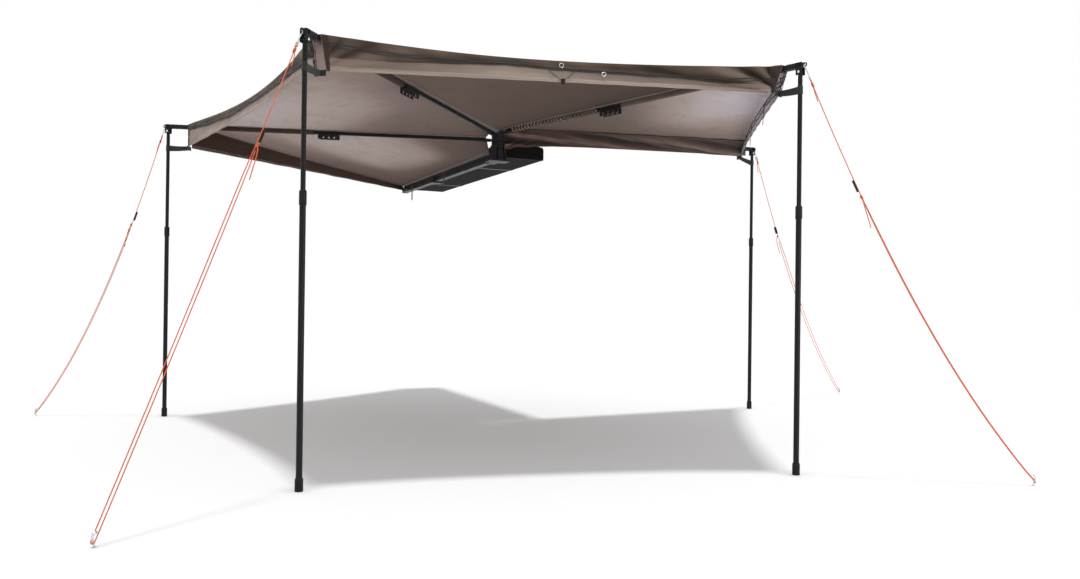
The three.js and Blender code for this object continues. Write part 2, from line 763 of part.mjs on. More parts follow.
function slideTensioner(arm) {
  const line = guyLine(arm);
  const { length, width, thickness, hole, share } = tensioner;
  const plate = box([-width / 2, width / 2], [0, length], [-thickness, 0]);
  const holes = [hole * 2, length - hole * 2].map((y) =>
    rodZ(hole, -thickness - overrun, overrun, roundSides / 2).translate(0, y, 0));
  const place = onRope(arm, line, share);
  const reach = length / line.turnPoint.distanceTo(line.start);
  const along = onRope(arm, line, share + reach).sub(place).normalize();
  const off = along.clone().cross(line.side).normalize();
  const frame = new THREE.Matrix4().makeBasis(line.side.clone().negate(), along, off);
  place.addScaledVector(off, -rope.radius - touch);
  return cut(plate, ...holes).applyMatrix4(frame).translate(place.x, place.y, place.z);
}

// The peg's shank leans away from the awning and its end curls back over the rope
function groundPeg(arm) {
  const line = guyLine(arm);
  const at = (along, over) => line.pegFoot.clone()
    .addScaledVector(line.shankDirection, along)
    .addScaledVector(backOf(line), over);
  const r = peg.hookRadius;
  const points = [at(0, 0), at(peg.shank / 2, 0), at(peg.shank, 0)];
  for (const share of [0.25, 0.5, 0.75, 1]) {
    const a = Math.PI * share;
    points.push(at(peg.shank + r * Math.sin(a), r * (1 - Math.cos(a))));
  }
  const rod = wire(points, peg.wire, peg.sides, 1);
  const size = peg.shank + r;
  const ground = box([-size, size], [-size, size], [-size, 0])
    .translate(line.pegFoot.x, line.pegFoot.y, -mountHeight);
  return cut(rod, ground);
}

function backOf(line) {
  const lean = THREE.MathUtils.degToRad(peg.lean);
  return line.out.clone().multiplyScalar(-Math.sin(lean)).add(new THREE.Vector3(0, 0, Math.cos(lean)));
}

// Assembly
const awning = new THREE.Group();

function add(parent, name, geometry, finish) {
  const mesh = new THREE.Mesh(geometry, new THREE.MeshStandardMaterial(finish));
  mesh.name = name;
  parent.add(mesh);
  return mesh;
}

function addGroup(parent, place = [0, 0, 0], turn = [0, 0, 0]) {
  const group = new THREE.Group();
  group.position.set(...place);
  group.rotation.set(...turn);
  parent.add(group);
  return group;
}

add(awning, 'hub_bracket', hubBracket(), plastic);
add(awning, 'hub_pin', hubPin(), steel);
add(awning, 'backbone_rail', backboneRail(), black);
add(awning, 'rail_end_cap', railEndCap(), plastic);
add(awning, 'mount_bracket_front', frontMountBracket(), black);
add(awning, 'travel_bag', travelBag(), webbing);
for (const one of tails) add(awning, one.name, bagStrap(one), webbing);

for (const arm of arms) {
  const level = addGroup(awning, [0, 0, arm.hubZ], [0, 0, arm.turn]);
  add(level, `arm_${arm.name}_knuckle`, armKnuckle(arm), plastic);
  const sloped = addGroup(level, [0, 0, 0], [arm.slope, 0, 0]);
  add(sloped, `arm_${arm.name}_tube`, armTube(arm), black);
  add(sloped, `arm_${arm.name}_end_fitting`, endFitting(arm), plastic);
  const clipMesh = add(sloped, `arm_${arm.name}_leg_clip`, legClip(), plastic);
  clipMesh.position.y = arm.clipAt;
  const leg = addGroup(level, [0, arm.reach, arm.pivotZ - arm.hubZ]);
  add(leg, `leg_${arm.name}_upper_tube`, upperTube(), black);
  add(leg, `leg_${arm.name}_lock_collar`, twistCollar(), plastic);
  add(leg, `leg_${arm.name}_lower_tube`, lowerTube(arm), black);
  add(leg, `leg_${arm.name}_foot`, footGeometry(arm), rubber);
  add(leg, `corner_strap_${arm.name}`, cornerStrap(arm), webbing);
  add(awning, `guy_${arm.name}_rope`, guyRope(arm), orange);
  add(awning, `guy_${arm.name}_tensioner`, slideTensioner(arm), plastic);
  add(awning, `guy_${arm.name}_peg`, groundPeg(arm), steel);
}

for (const panel of panels) add(awning, panel.name, canopyPanel(panel), canvasBrown);

export default awning;
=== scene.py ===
"""Looks of a fan-shaped vehicle side awning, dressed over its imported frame.

Metres, +Z up, +Y forward along the backbone rail, +X inboard over the roof.
The origin is on the rear bracket's base face; the ground is 1.565 m below it.
"""

import functools
import logging
import math
from collections.abc import Callable, Sequence
from dataclasses import dataclass
from enum import Enum
from typing import ClassVar

import bpy
import numpy as np
from mathutils import Matrix, Vector


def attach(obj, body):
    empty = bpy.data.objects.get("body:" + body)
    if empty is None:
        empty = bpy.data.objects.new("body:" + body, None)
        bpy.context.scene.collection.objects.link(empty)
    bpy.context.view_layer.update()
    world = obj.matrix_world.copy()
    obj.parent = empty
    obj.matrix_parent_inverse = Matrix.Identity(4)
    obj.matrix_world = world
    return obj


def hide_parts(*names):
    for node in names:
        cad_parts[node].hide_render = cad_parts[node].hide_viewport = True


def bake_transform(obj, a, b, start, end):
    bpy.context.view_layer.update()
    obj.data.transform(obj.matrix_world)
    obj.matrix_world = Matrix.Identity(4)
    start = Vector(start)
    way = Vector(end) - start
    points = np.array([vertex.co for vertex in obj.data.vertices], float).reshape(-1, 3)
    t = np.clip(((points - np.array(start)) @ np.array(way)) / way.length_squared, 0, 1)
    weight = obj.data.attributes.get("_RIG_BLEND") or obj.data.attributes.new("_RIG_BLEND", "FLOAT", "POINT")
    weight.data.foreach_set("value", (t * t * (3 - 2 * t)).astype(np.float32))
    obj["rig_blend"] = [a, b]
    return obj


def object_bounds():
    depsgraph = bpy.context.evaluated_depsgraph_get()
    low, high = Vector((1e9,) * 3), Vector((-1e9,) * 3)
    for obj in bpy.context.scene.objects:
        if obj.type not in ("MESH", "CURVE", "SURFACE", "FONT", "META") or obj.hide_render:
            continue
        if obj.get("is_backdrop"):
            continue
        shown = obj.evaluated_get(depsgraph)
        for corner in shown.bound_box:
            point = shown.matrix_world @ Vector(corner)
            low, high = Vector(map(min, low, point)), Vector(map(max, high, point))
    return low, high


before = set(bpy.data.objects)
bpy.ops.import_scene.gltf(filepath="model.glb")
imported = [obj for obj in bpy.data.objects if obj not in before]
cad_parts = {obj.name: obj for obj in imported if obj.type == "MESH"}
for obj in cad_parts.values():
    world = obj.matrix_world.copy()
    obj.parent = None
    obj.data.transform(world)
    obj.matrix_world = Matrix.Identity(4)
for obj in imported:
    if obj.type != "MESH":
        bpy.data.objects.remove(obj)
CAD_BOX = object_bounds()

LOG = logging.getLogger("awning")
GROUND = -1.565
CANVAS_FROM = 0.072
CANVAS_OVER = 0.0134
RAIL_CANVAS_TO = 1.962
RAIL_CANVAS_Z = 0.057
TAU = 2 * math.pi
SIDEWAYS = Matrix.Rotation(TAU / 4, 4, "Y")
Piece = bpy.types.Object
Point = tuple[float, float, float]
Colour = tuple[float, float, float]
norm = np.linalg.norm
shift = Matrix.Translation


def length_of(way: np.ndarray) -> float:
    """Gives a vector's length."""
    return float(np.linalg.norm(way))


def unit(way: np.ndarray) -> np.ndarray:
    """Gives a vector's direction."""
    return way / norm(way)


def run_of(line: np.ndarray) -> np.ndarray:
    """Measures how far along a line each of its points is."""
    return np.concatenate([[0], np.cumsum(norm(np.diff(line, axis=0), axis=1))])


def framed(axes: Sequence[Sequence[float]], at: Sequence[float]) -> Matrix:
    """Makes the matrix that has these three axes and this origin."""
    return Matrix([[axis[i] for axis in axes] + [at[i]] for i in range(3)] + [[0, 0, 0, 1]])


# Shader nodes


def operator(operation: str, first: bool = True) -> Callable[["Sock", "Sock | float"], "Sock"]:
    """Makes one of Sock's operators; first is False where the socket is the second operand."""
    return lambda sock, other: sock.math(operation, other, first=first)


class Sock:
    """A node's output socket that takes part in Python expressions."""

    def __init__(self, graph: "Graph", socket: bpy.types.NodeSocket) -> None:
        """Keeps the socket and the tree it belongs to."""
        self.graph = graph
        self.socket = socket

    def math(self, operation: str, *others: "Sock | float", first: bool = True) -> "Sock":
        """Adds a Math node on this socket and others; first is False where this one comes last."""
        operands = [self, *others] if first else [*others, self]
        return self.graph.node("Math", {"operation": operation}, dict(enumerate(operands)))

    __add__ = __radd__ = operator("ADD")
    __sub__ = operator("SUBTRACT")
    __rsub__ = operator("SUBTRACT", first=False)
    __mul__ = __rmul__ = operator("MULTIPLY")
    __truediv__ = operator("DIVIDE")
    __pow__ = operator("POWER")

    def sine(self) -> "Sock":
        """Takes the sine."""
        return self.math("SINE")

    def clamp(self) -> "Sock":
        """Keeps the value between 0 and 1."""
        return self.graph.node("Clamp", None, {0: self})

    def between(self, low: float, high: float) -> "Sock":
        """Maps low to 0 and high to 1, smoothly."""
        return self.graph.node("MapRange", {"interpolation_type": "SMOOTHSTEP"}, {0: self, 1: low, 2: high})


class Graph:
    """A node tree that is built from nothing."""

    def __init__(self, tree: bpy.types.NodeTree) -> None:
        """Empties the tree."""
        self.tree = tree
        tree.nodes.clear()

    def node(
        self, kind: str, settings: dict | None = None, inputs: dict | None = None, output: str | int = 0
    ) -> Sock:
        """Adds any node.

        Args:
            kind: the node's type, without its Shader prefix.
            settings: properties set first; "stops" fills a colour ramp.
            inputs: values or sockets by input name or number.
            output: the name or number of the output that is wanted.

        Returns:
            The output.
        """
        made = self.tree.nodes.new("ShaderNode" + kind)
        for key, value in (settings or {}).items():
            if key == "stops":
                self.fill_ramp(made.color_ramp, value)
            else:
                setattr(made, key, value)
        for key, value in (inputs or {}).items():
            self.put(made.inputs[key], value)
        return Sock(self, made.outputs[output])

    def put(self, place: bpy.types.NodeSocket, value: object) -> None:
        """Links a Sock to a node's input, or sets a plain value there."""
        if isinstance(value, Sock):
            self.tree.links.new(value.socket, place)
        else:
            place.default_value = value

    @staticmethod
    def fill_ramp(ramp: bpy.types.ColorRamp, stops: Sequence[tuple[float, Colour]]) -> None:
        """Sets a new ramp's stops.

        Args:
            ramp: the ramp, with its two first stops.
            stops: place and colour of each stop.
        """
        while len(ramp.elements) < len(stops):
            ramp.elements.new(0.5)
        for element, (place, colour) in zip(ramp.elements, stops):
            element.position = place
            element.color = (*colour, 1)


class Recipe(Graph):
    """The node tree of one material, with its Principled shader."""

    def __init__(self, name: str) -> None:
        """Starts an empty material of the given name."""
        self.material = bpy.data.materials.new(name)
        self.material.use_nodes = True
        super().__init__(self.material.node_tree)
        self.shader = self.tree.nodes.new("ShaderNodeBsdfPrincipled")
        output = self.tree.nodes.new("ShaderNodeOutputMaterial")
        self.tree.links.new(self.shader.outputs[0], output.inputs[0])

    def coordinates(self, output: str = "Object") -> Sock:
        """Gives object or UV coordinates."""
        return self.node("TexCoord", output=output)

    def chart(self) -> tuple[Sock, Sock]:
        """Gives the piece's own UV values, across or around it and along it."""
        where = self.coordinates("UV")
        return tuple(self.node("SeparateXYZ", None, {"Vector": where}, k) for k in (0, 1))

    def noise(self, where: Sock, scale: float, detail: float = 3, distortion: float = 0) -> Sock:
        """Adds a noise texture with so many cells to a metre."""
        values = {"Vector": where, "Scale": scale, "Detail": detail, "Distortion": distortion}
        return self.node("TexNoise", None, values)

    def stretched(self, where: Sock, scale: Point, turn: float = 0) -> Sock:
        """Scales coordinates along each axis and turns them about Z, in degrees."""
        values = {"Vector": where, "Rotation": (0, 0, math.radians(turn)), "Scale": scale}
        return self.node("Mapping", None, values)

    def blend(self, factor: Sock, first: Sock | Colour, second: Sock | Colour) -> Sock:
        """Mixes two colours; a factor of 0 gives the first."""
        first, second = (c if isinstance(c, Sock) else (*c, 1) for c in (first, second))
        return self.node("Mix", {"data_type": "RGBA"}, {0: factor, 6: first, 7: second}, 2)

    def bump(self, height: Sock, distance: float, strength: float = 1.0) -> None:
        """Feeds the shader's normal from a height, of which 1 stands for so many metres."""
        values = {"Height": height, "Distance": distance, "Strength": strength}
        self.feed("Normal", self.node("Bump", None, values))

    def feed(self, socket: str, value: Sock) -> None:
        """Links a value to one of the shader's sockets."""
        self.put(self.shader.inputs[socket], value)

    def set(self, **values: object) -> None:
        """Sets the shader's plain values; underscores stand for spaces."""
        for key, value in values.items():
            self.shader.inputs[key.replace("_", " ")].default_value = value


# Finishes


@dataclass(frozen=True)
class Cloth:
    """Woven cloth that reads its piece's UV map in metres."""

    name: str
    tone: Colour = (0, 0, 0)
    shade: Colour = (0, 0, 0)
    thread: float = 0.0012
    cell: float = 0.006
    crease: float = 0.0016
    stitches: tuple[float, ...] = ()
    # Painted light and shade: tones from the most shaded to the most lit, picked by a per-point attribute of
    # this name.
    glow_tones: tuple[Colour, ...] = ()
    glow_name: str = "glow"
    # Spacing of the painted shade between a sleeve's gathers.
    gather_step: float = 0.0
    sheen: float = 0.15
    specular: float = 0.25
    roughness: ClassVar[float] = 0.86
    stitch_step: ClassVar[float] = 0.005
    stitch_tone: ClassVar[Colour] = (0.62, 0.53, 0.45)

    def grid(self, where: Sock) -> Sock:
        """Draws the ripstop's thicker threads across one direction."""
        return ((where * (math.pi / self.cell)).sine() ** 2) ** 60

    def material(self) -> bpy.types.Material:
        """Builds the cloth's weave, ripstop grid, creases and faded patches, with painted shade in the
        creases' valleys and between gathers, and painted light and shade that a per-point attribute picks.

        Returns:
            The material.
        """
        recipe = Recipe(self.name)
        where = recipe.coordinates("UV")
        across, along = recipe.chart()
        weft, warp = ((way * (TAU / self.thread)).sine() for way in (across, along))
        grid = (self.grid(across) + self.grid(along)).clamp()
        cloud = recipe.noise(where, 2.2, 5, 0.6).between(0.32, 0.7)
        fine = recipe.noise(where, 420, 2).between(0.3, 0.75)
        creases = recipe.noise(recipe.stretched(where, (3, 16, 1), 24), 1.0, 4, 1.4)
        cross_creases = recipe.noise(recipe.stretched(where, (17, 4, 1), -15), 1.0, 4, 1.2)
        folds = creases * 0.6 + cross_creases * 0.4
        # Painted light and shade: the colour runs through the tones by the per-point attribute.
        if self.glow_tones:
            deep = self.glow_tones[0]
            stops = [(k / (len(self.glow_tones) - 1), tone) for k, tone in enumerate(self.glow_tones)]
            glow = recipe.node("Attribute", {"attribute_name": self.glow_name}, None, "Fac")
            lit = recipe.node("ValToRGB", {"stops": stops}, {"Fac": glow}, "Color")
            colour = recipe.blend(fine * 0.5, lit, recipe.blend(cloud * 0.4 + 0.1, lit, deep))
        else:
            deep = self.shade
            colour = recipe.blend(fine * 0.35, recipe.blend(cloud * 0.7, self.tone, deep), deep)
        # Painted shade between the gathers' ridges.
        if self.gather_step:
            wander = recipe.noise(where, 9, 2) * 9
            ridge = (along * (TAU / self.gather_step) + wander).sine().between(-0.8, 0.9)
            colour = recipe.blend(ridge, self.shade, colour)
        colour = recipe.blend(grid * 0.12, colour, deep)
        # Painted shade in the crease valleys.
        colour = recipe.blend((1 - folds.between(0.36, 0.5)) * 0.12, colour, deep)
        height = (weft * warp * 0.5 + 0.5) * 0.06 + grid * 0.09 + folds * (self.crease / 0.002)
        for row in self.stitches:
            line = (along - row).math("ABSOLUTE").between(0.001, 0.0003)
            dash = line * (across * (TAU / self.stitch_step)).sine().between(-0.3, 0.2)
            colour = recipe.blend(dash * 0.55, colour, self.stitch_tone)
            height = height + dash * 0.25 - line * 0.2
        recipe.feed("Base Color", colour)
        recipe.feed("Roughness", fine * 0.08 + (self.roughness - 0.04))
        recipe.bump(height, 0.002, 0.6)
        recipe.set(Sheen_Weight=self.sheen, Sheen_Roughness=0.5, Specular_IOR_Level=self.specular)
        return recipe.material


@dataclass(frozen=True)
class Webbing:
    """Flat woven tape whose ribs run across the piece's UV map."""

    name: str
    tone: Colour
    rib: float = 0.0018

    def material(self) -> bpy.types.Material:
        """Builds the tape's diagonal ribs, with painted highlight on their raised crossings and lighter fuzz
        at random.

        Returns:
            The material.
        """
        recipe = Recipe(self.name)
        across, along = recipe.chart()
        ribs = ((along + across * 0.6) * (TAU / self.rib)).sine()
        counter = ((along - across * 0.6) * (TAU / self.rib)).sine()
        weave = (ribs * counter) * 0.5 + 0.5
        fuzz = recipe.noise(recipe.coordinates("UV"), 260, 3)
        # Painted highlight: the raised weave is lighter; the fuzz lightens it at random.
        light = tuple(min(1.0, 2.3 * c + 0.012) for c in self.tone)
        recipe.feed("Base Color", recipe.blend((weave * 0.4 + fuzz * 0.35).clamp(), self.tone, light))
        recipe.feed("Roughness", fuzz * 0.2 + 0.68)
        recipe.bump(weave + fuzz * 0.4, 0.0003, 0.8)
        recipe.set(Sheen_Weight=0.2, Specular_IOR_Level=0.3)
        return recipe.material


@dataclass(frozen=True)
class Braid:
    """Round braided cord with a pale tracer, on the cord's own UV map."""

    name: str
    tone: Colour
    tracer: Colour
    pitch: float = 0.011

    def material(self) -> bpy.types.Material:
        """Builds the crossing strands of the braid, with painted shade between them.

        Returns:
            The material.
        """
        recipe = Recipe(self.name)
        around, along = recipe.chart()
        left = ((along / self.pitch + around * 4) * TAU).sine()
        right = ((along / self.pitch - around * 4) * TAU).sine()
        strands = left.math("MAXIMUM", right)
        flecks = (left * right).between(0.72, 0.9)
        # Painted shade between the strands.
        dark = tuple(0.42 * c for c in self.tone)
        colour = recipe.blend(strands.between(-0.4, 0.5), dark, self.tone)
        recipe.feed("Base Color", recipe.blend(flecks * 0.55, colour, self.tracer))
        recipe.feed("Roughness", strands.between(-1, 1) * -0.12 + 0.72)
        recipe.bump(strands, 0.0004, 0.9)
        recipe.set(Sheen_Weight=0.25)
        return recipe.material


@dataclass(frozen=True)
class Coating:
    """Powder coat, moulding, rubber or metal, on object coordinates."""

    name: str
    tone: Colour
    roughness: float
    metallic: float = 0.0
    grain: float = 900.0
    grain_height: float = 0.00006
    dust: float = 0.05
    specular: float = 0.16
    brushed: bool = False

    def material(self) -> bpy.types.Material:
        """Builds the surface's grain, scuffs and settled dust.

        Returns:
            The material.
        """
        recipe = Recipe(self.name)
        where = recipe.coordinates()
        grain = recipe.noise(where, self.grain, 3)
        if self.brushed:
            grain = recipe.noise(recipe.stretched(where, (1, 1, 0.04)), self.grain, 4)
        cloud = recipe.noise(where, 14, 4, 0.5).between(0.38, 0.72)
        scuffs = recipe.noise(recipe.stretched(where, (90, 90, 9), 33), 1.0, 6, 2.0).between(0.63, 0.69)
        light = tuple(min(1.0, 1.6 * c + 0.035) for c in self.tone)
        colour = recipe.blend(cloud * self.dust, self.tone, light)
        recipe.feed("Base Color", recipe.blend(scuffs * (2.2 * self.dust), colour, light))
        recipe.feed("Roughness", grain * 0.14 + cloud * 0.1 + (self.roughness - 0.1) + scuffs * 0.08)
        recipe.bump(grain, self.grain_height, 0.8)
        recipe.set(Metallic=self.metallic, Specular_IOR_Level=self.specular)
        return recipe.material


class Finish(Enum):
    """The awning's finishes."""

    # Painted shade on the valances' outside: darker where the per-point attribute is low.
    CANVAS = Cloth(
        "canvas_outside", glow_tones=((0.17, 0.128, 0.104), (0.34, 0.268, 0.222)), glow_name="day"
    )
    # Painted light and shade under the canvas: from deep shade to the pale light that shines through the
    # cloth.
    LINING = Cloth(
        "canvas_inside", sheen=0.0, specular=0.1, glow_tones=(
            (0.05, 0.03, 0.022), (0.15, 0.106, 0.088), (0.34, 0.262, 0.238), (0.44, 0.368, 0.336),
            (0.61, 0.55, 0.6),
        ),
    )
    HEM = Cloth("stitched_hem", (0.36, 0.286, 0.238), (0.26, 0.2, 0.165), stitches=(0.003, 0.0135))
    TAPE = Cloth("seam_tape", (0.12, 0.09, 0.074), (0.07, 0.052, 0.042), stitches=(0.003, 0.0245))
    # Painted shade in the zip flap's fold valleys, by the per-point attribute.
    FLAP = Cloth(
        "canvas_zip_flap", crease=0.003, sheen=0.05,
        glow_tones=((0.03, 0.019, 0.013), (0.095, 0.066, 0.049), (0.21, 0.155, 0.122)),
    )
    # Painted light and shade of the folded cloths, by the per-point attribute.
    SIDE_FLAP = Cloth(
        "folded_wall_cloth", crease=0.004, sheen=0.05,
        glow_tones=((0.022, 0.013, 0.01), (0.07, 0.043, 0.033), (0.16, 0.108, 0.086)),
    )
    SLEEVE = Cloth("sleeve_cloth", (0.11, 0.078, 0.062), (0.06, 0.042, 0.033), thread=0.0009)
    DARK_SLEEVE = Cloth(
        "dark_sleeve_cloth", (0.05, 0.032, 0.026), (0.026, 0.017, 0.014), thread=0.0009, sheen=0.0
    )
    # Painted shade between its gathers.
    GATHERED = Cloth(
        "gathered_sleeve", (0.36, 0.27, 0.22), (0.02, 0.013, 0.01), thread=0.0009, gather_step=0.028,
        sheen=0.0,
    )
    BAG = Cloth(
        "bag_cloth", (0.009, 0.0075, 0.0065), (0.005, 0.0042, 0.0038), thread=0.002, cell=0.012, sheen=0.0,
        specular=0.08,
    )
    WEBBING = Webbing("black_webbing", (0.011, 0.011, 0.012))
    BINDING = Webbing("edge_binding", (0.016, 0.013, 0.012), 0.0012)
    ROPE = Braid("orange_cord", (0.86, 0.12, 0.02), (0.95, 0.36, 0.14))
    SHOCK_CORD = Braid("black_cord", (0.012, 0.012, 0.013), (0.06, 0.06, 0.06), 0.006)
    POWDER = Coating("black_powder_coat", (0.0095, 0.0098, 0.0105), 0.4, dust=0.03)
    MOULDING = Coating("glass_filled_moulding", (0.01, 0.0108, 0.0106), 0.44, grain=500.0)
    SMOOTH_PLASTIC = Coating("fine_plastic", (0.012, 0.012, 0.0125), 0.5, grain=1400.0)
    RUBBER = Coating(
        "foot_rubber", (0.01, 0.01, 0.01), 0.8, grain=300.0, grain_height=0.0001, dust=0.2, specular=0.25
    )
    ZINC = Coating("zinc_plate", (0.6, 0.61, 0.62), 0.3, 1.0, 700.0, dust=0.3, specular=0.5, brushed=True)

    @functools.cache
    def material(self) -> bpy.types.Material:
        """Gives the finish's material, built once."""
        return self.value.material()

    def dress(self, obj: Piece, *others: "Finish") -> Piece:
        """Gives a piece this finish, and others in its next slots.

        Args:
            obj: the piece.
            others: the finishes of its further material slots.

        Returns:
            The piece.
        """
        obj.data.materials.clear()
        for finish in (self, *others):
            obj.data.materials.append(finish.material())
        return obj


# Bench work


class Bench:
    """The modelling steps that every hard piece uses."""

    @staticmethod
    def clear() -> None:
        """Leaves edit mode with nothing selected."""
        active = bpy.context.view_layer.objects.active
        if active is not None and active.mode != "OBJECT":
            bpy.ops.object.mode_set(mode="OBJECT")
        bpy.ops.object.select_all(action="DESELECT")

    @classmethod
    def pick(cls, *pieces: Piece) -> None:
        """Selects pieces alone and makes the first one active.

        Args:
            pieces: the pieces.
        """
        cls.clear()
        for obj in pieces:
            obj.select_set(True)
        bpy.context.view_layer.objects.active = pieces[0]

    @classmethod
    def opened(cls, obj: Piece) -> Piece:
        """Opens a piece in edit mode with all its points selected.

        Args:
            obj: the piece.

        Returns:
            The piece.
        """
        cls.pick(obj)
        bpy.ops.object.mode_set(mode="EDIT")
        bpy.ops.mesh.select_mode(type="VERT")
        bpy.ops.mesh.select_all(action="SELECT")
        return obj

    @staticmethod
    def named(obj: Piece, name: str) -> Piece:
        """Names a piece and its mesh."""
        obj.name = obj.data.name = name
        return obj

    @staticmethod
    def closed(obj: Piece, angle: float = 32) -> Piece:
        """Merges doubles, turns faces outwards, leaves edit mode and smooths.

        Args:
            obj: the piece in edit mode.
            angle: edges sharper than this stay sharp, in degrees.

        Returns:
            The piece.
        """
        bpy.ops.mesh.select_all(action="SELECT")
        bpy.ops.mesh.remove_doubles(threshold=1e-5)
        bpy.ops.mesh.normals_make_consistent(inside=False)
        bpy.ops.object.mode_set(mode="OBJECT")
        bpy.ops.object.shade_smooth_by_angle(angle=math.radians(angle))
        return obj

    @classmethod
    def turned(
        cls, name: str, profile: Sequence[tuple[float, float]], sides: int = 40, hollow: bool = False
    ) -> Piece:
        """Turns a profile about Z, ring by ring.

        Args:
            name: its name.
            profile: radius and height of each ring.
            sides: the sides of each ring.
            hollow: True closes the profile on itself, False caps its ends.

        Returns:
            The piece.
        """
        cls.clear()
        radius, height = profile[0]
        bpy.ops.mesh.primitive_circle_add(vertices=sides, radius=radius, location=(0, 0, height))
        obj = cls.opened(cls.named(bpy.context.object, name))
        for wide, high in [*profile[1:], profile[0]] if hollow else profile[1:]:
            bpy.ops.mesh.extrude_region_move(TRANSFORM_OT_translate={"value": (0, 0, high - height)})
            share = wide / radius
            bpy.ops.transform.resize(value=(share, share, 1), center_override=(0, 0, high))
            radius, height = wide, high
        if not hollow:
            bpy.ops.mesh.select_all(action="SELECT")
            bpy.ops.mesh.fill_holes(sides=0)
        return cls.settled(cls.closed(obj))

    @classmethod
    def block(cls, name: str, low: Point, high: Point, bevel: float, segments: int = 3) -> Piece:
        """Makes a rounded block between two corners.

        Args:
            name: its name.
            low: its lowest corner.
            high: its highest corner.
            bevel: the radius of its edges.
            segments: faces across each rounded edge.

        Returns:
            The block.
        """
        cls.clear()
        middle = [(a + b) / 2 for a, b in zip(low, high)]
        bpy.ops.mesh.primitive_cube_add(size=1, location=middle)
        obj = cls.opened(cls.named(bpy.context.object, name))
        bpy.ops.transform.resize(value=[b - a for a, b in zip(low, high)], center_override=middle)
        bpy.ops.mesh.select_all(action="SELECT")
        bpy.ops.mesh.bevel(offset=bevel, segments=segments, affect="EDGES")
        return cls.settled(cls.closed(obj))

    @classmethod
    def ring(cls, name: str, radius: float, wire: float, sides: int = 32) -> Piece:
        """Makes a ring of round wire about Z.

        Args:
            name: its name.
            radius: from the axis to the wire's middle.
            wire: the wire's radius.
            sides: segments around the ring.

        Returns:
            The ring.
        """
        cls.clear()
        bpy.ops.mesh.primitive_torus_add(
            major_radius=radius, minor_radius=wire, major_segments=sides, minor_segments=12
        )
        return cls.closed(cls.opened(cls.named(bpy.context.object, name)), 60)

    @classmethod
    def settled(cls, obj: Piece, place: Matrix | None = None) -> Piece:
        """Bakes a piece's place into its mesh, so that its object stands at the origin.

        Args:
            obj: the piece.
            place: where it goes, from where it was modelled.

        Returns:
            The piece.
        """
        cls.pick(obj)
        if place is not None:
            obj.matrix_world = place @ obj.matrix_world
            bpy.context.view_layer.update()
        bpy.ops.object.transform_apply(location=True, rotation=True, scale=True)
        return obj

    @classmethod
    def joined(cls, name: str, pieces: Sequence[Piece]) -> Piece:
        """Joins finished shells into one piece.

        Args:
            name: its name.
            pieces: the shells; the first one's materials come first.

        Returns:
            The piece.
        """
        cls.pick(*pieces)
        bpy.ops.object.join()
        return cls.named(pieces[0], name)

    @classmethod
    def copied(cls, obj: Piece, name: str, place: Matrix) -> Piece:
        """Copies a piece with a mesh of its own.

        Args:
            obj: the piece.
            name: the copy's name.
            place: where the copy goes.

        Returns:
            The copy.
        """
        twin = obj.copy()
        twin.data = obj.data.copy()
        bpy.context.collection.objects.link(cls.named(twin, name))
        return cls.settled(twin, place)

    @classmethod
    def cut(cls, obj: Piece, *tools: Piece) -> Piece:
        """Cuts other shapes out of a piece and clears them away.

        Args:
            obj: the piece.
            tools: the shapes taken out of it.

        Returns:
            The piece.
        """
        for tool in tools:
            cls.modified(obj, "BOOLEAN", operation="DIFFERENCE", object=tool, solver="EXACT")
            cls.scrapped(tool)
        cls.pick(obj)
        bpy.ops.object.shade_smooth_by_angle(angle=math.radians(32))
        return obj

    @staticmethod
    def scrapped(*pieces: Piece) -> None:
        """Removes models that only their copies needed."""
        for piece in pieces:
            bpy.data.objects.remove(piece, do_unlink=True)

    @classmethod
    def narrowed(cls, obj: Piece, chosen: Callable[[Vector], bool], share: float, centre: Point) -> None:
        """Draws chosen points in towards the piece's axis.

        Args:
            obj: the piece, about the Z axis.
            chosen: says of a place whether it moves.
            share: the share of their distance that is left.
            centre: where the axis is met.
        """
        cls.opened(obj)
        bpy.ops.mesh.select_all(action="DESELECT")
        bpy.ops.object.mode_set(mode="OBJECT")
        for vertex in obj.data.vertices:
            vertex.select = chosen(vertex.co)
        bpy.ops.object.mode_set(mode="EDIT")
        bpy.ops.transform.resize(value=(share, share, 1), center_override=centre)
        bpy.ops.object.mode_set(mode="OBJECT")

    @classmethod
    def modified(cls, obj: Piece, kind: str, **settings: object) -> Piece:
        """Adds a modifier and applies it.

        Args:
            obj: the piece.
            kind: the modifier's type.
            settings: its properties.

        Returns:
            The piece.
        """
        cls.pick(obj)
        modifier = obj.modifiers.new(kind.lower(), kind)
        for key, value in settings.items():
            setattr(modifier, key, value)
        bpy.ops.object.modifier_apply(modifier=modifier.name)
        return obj


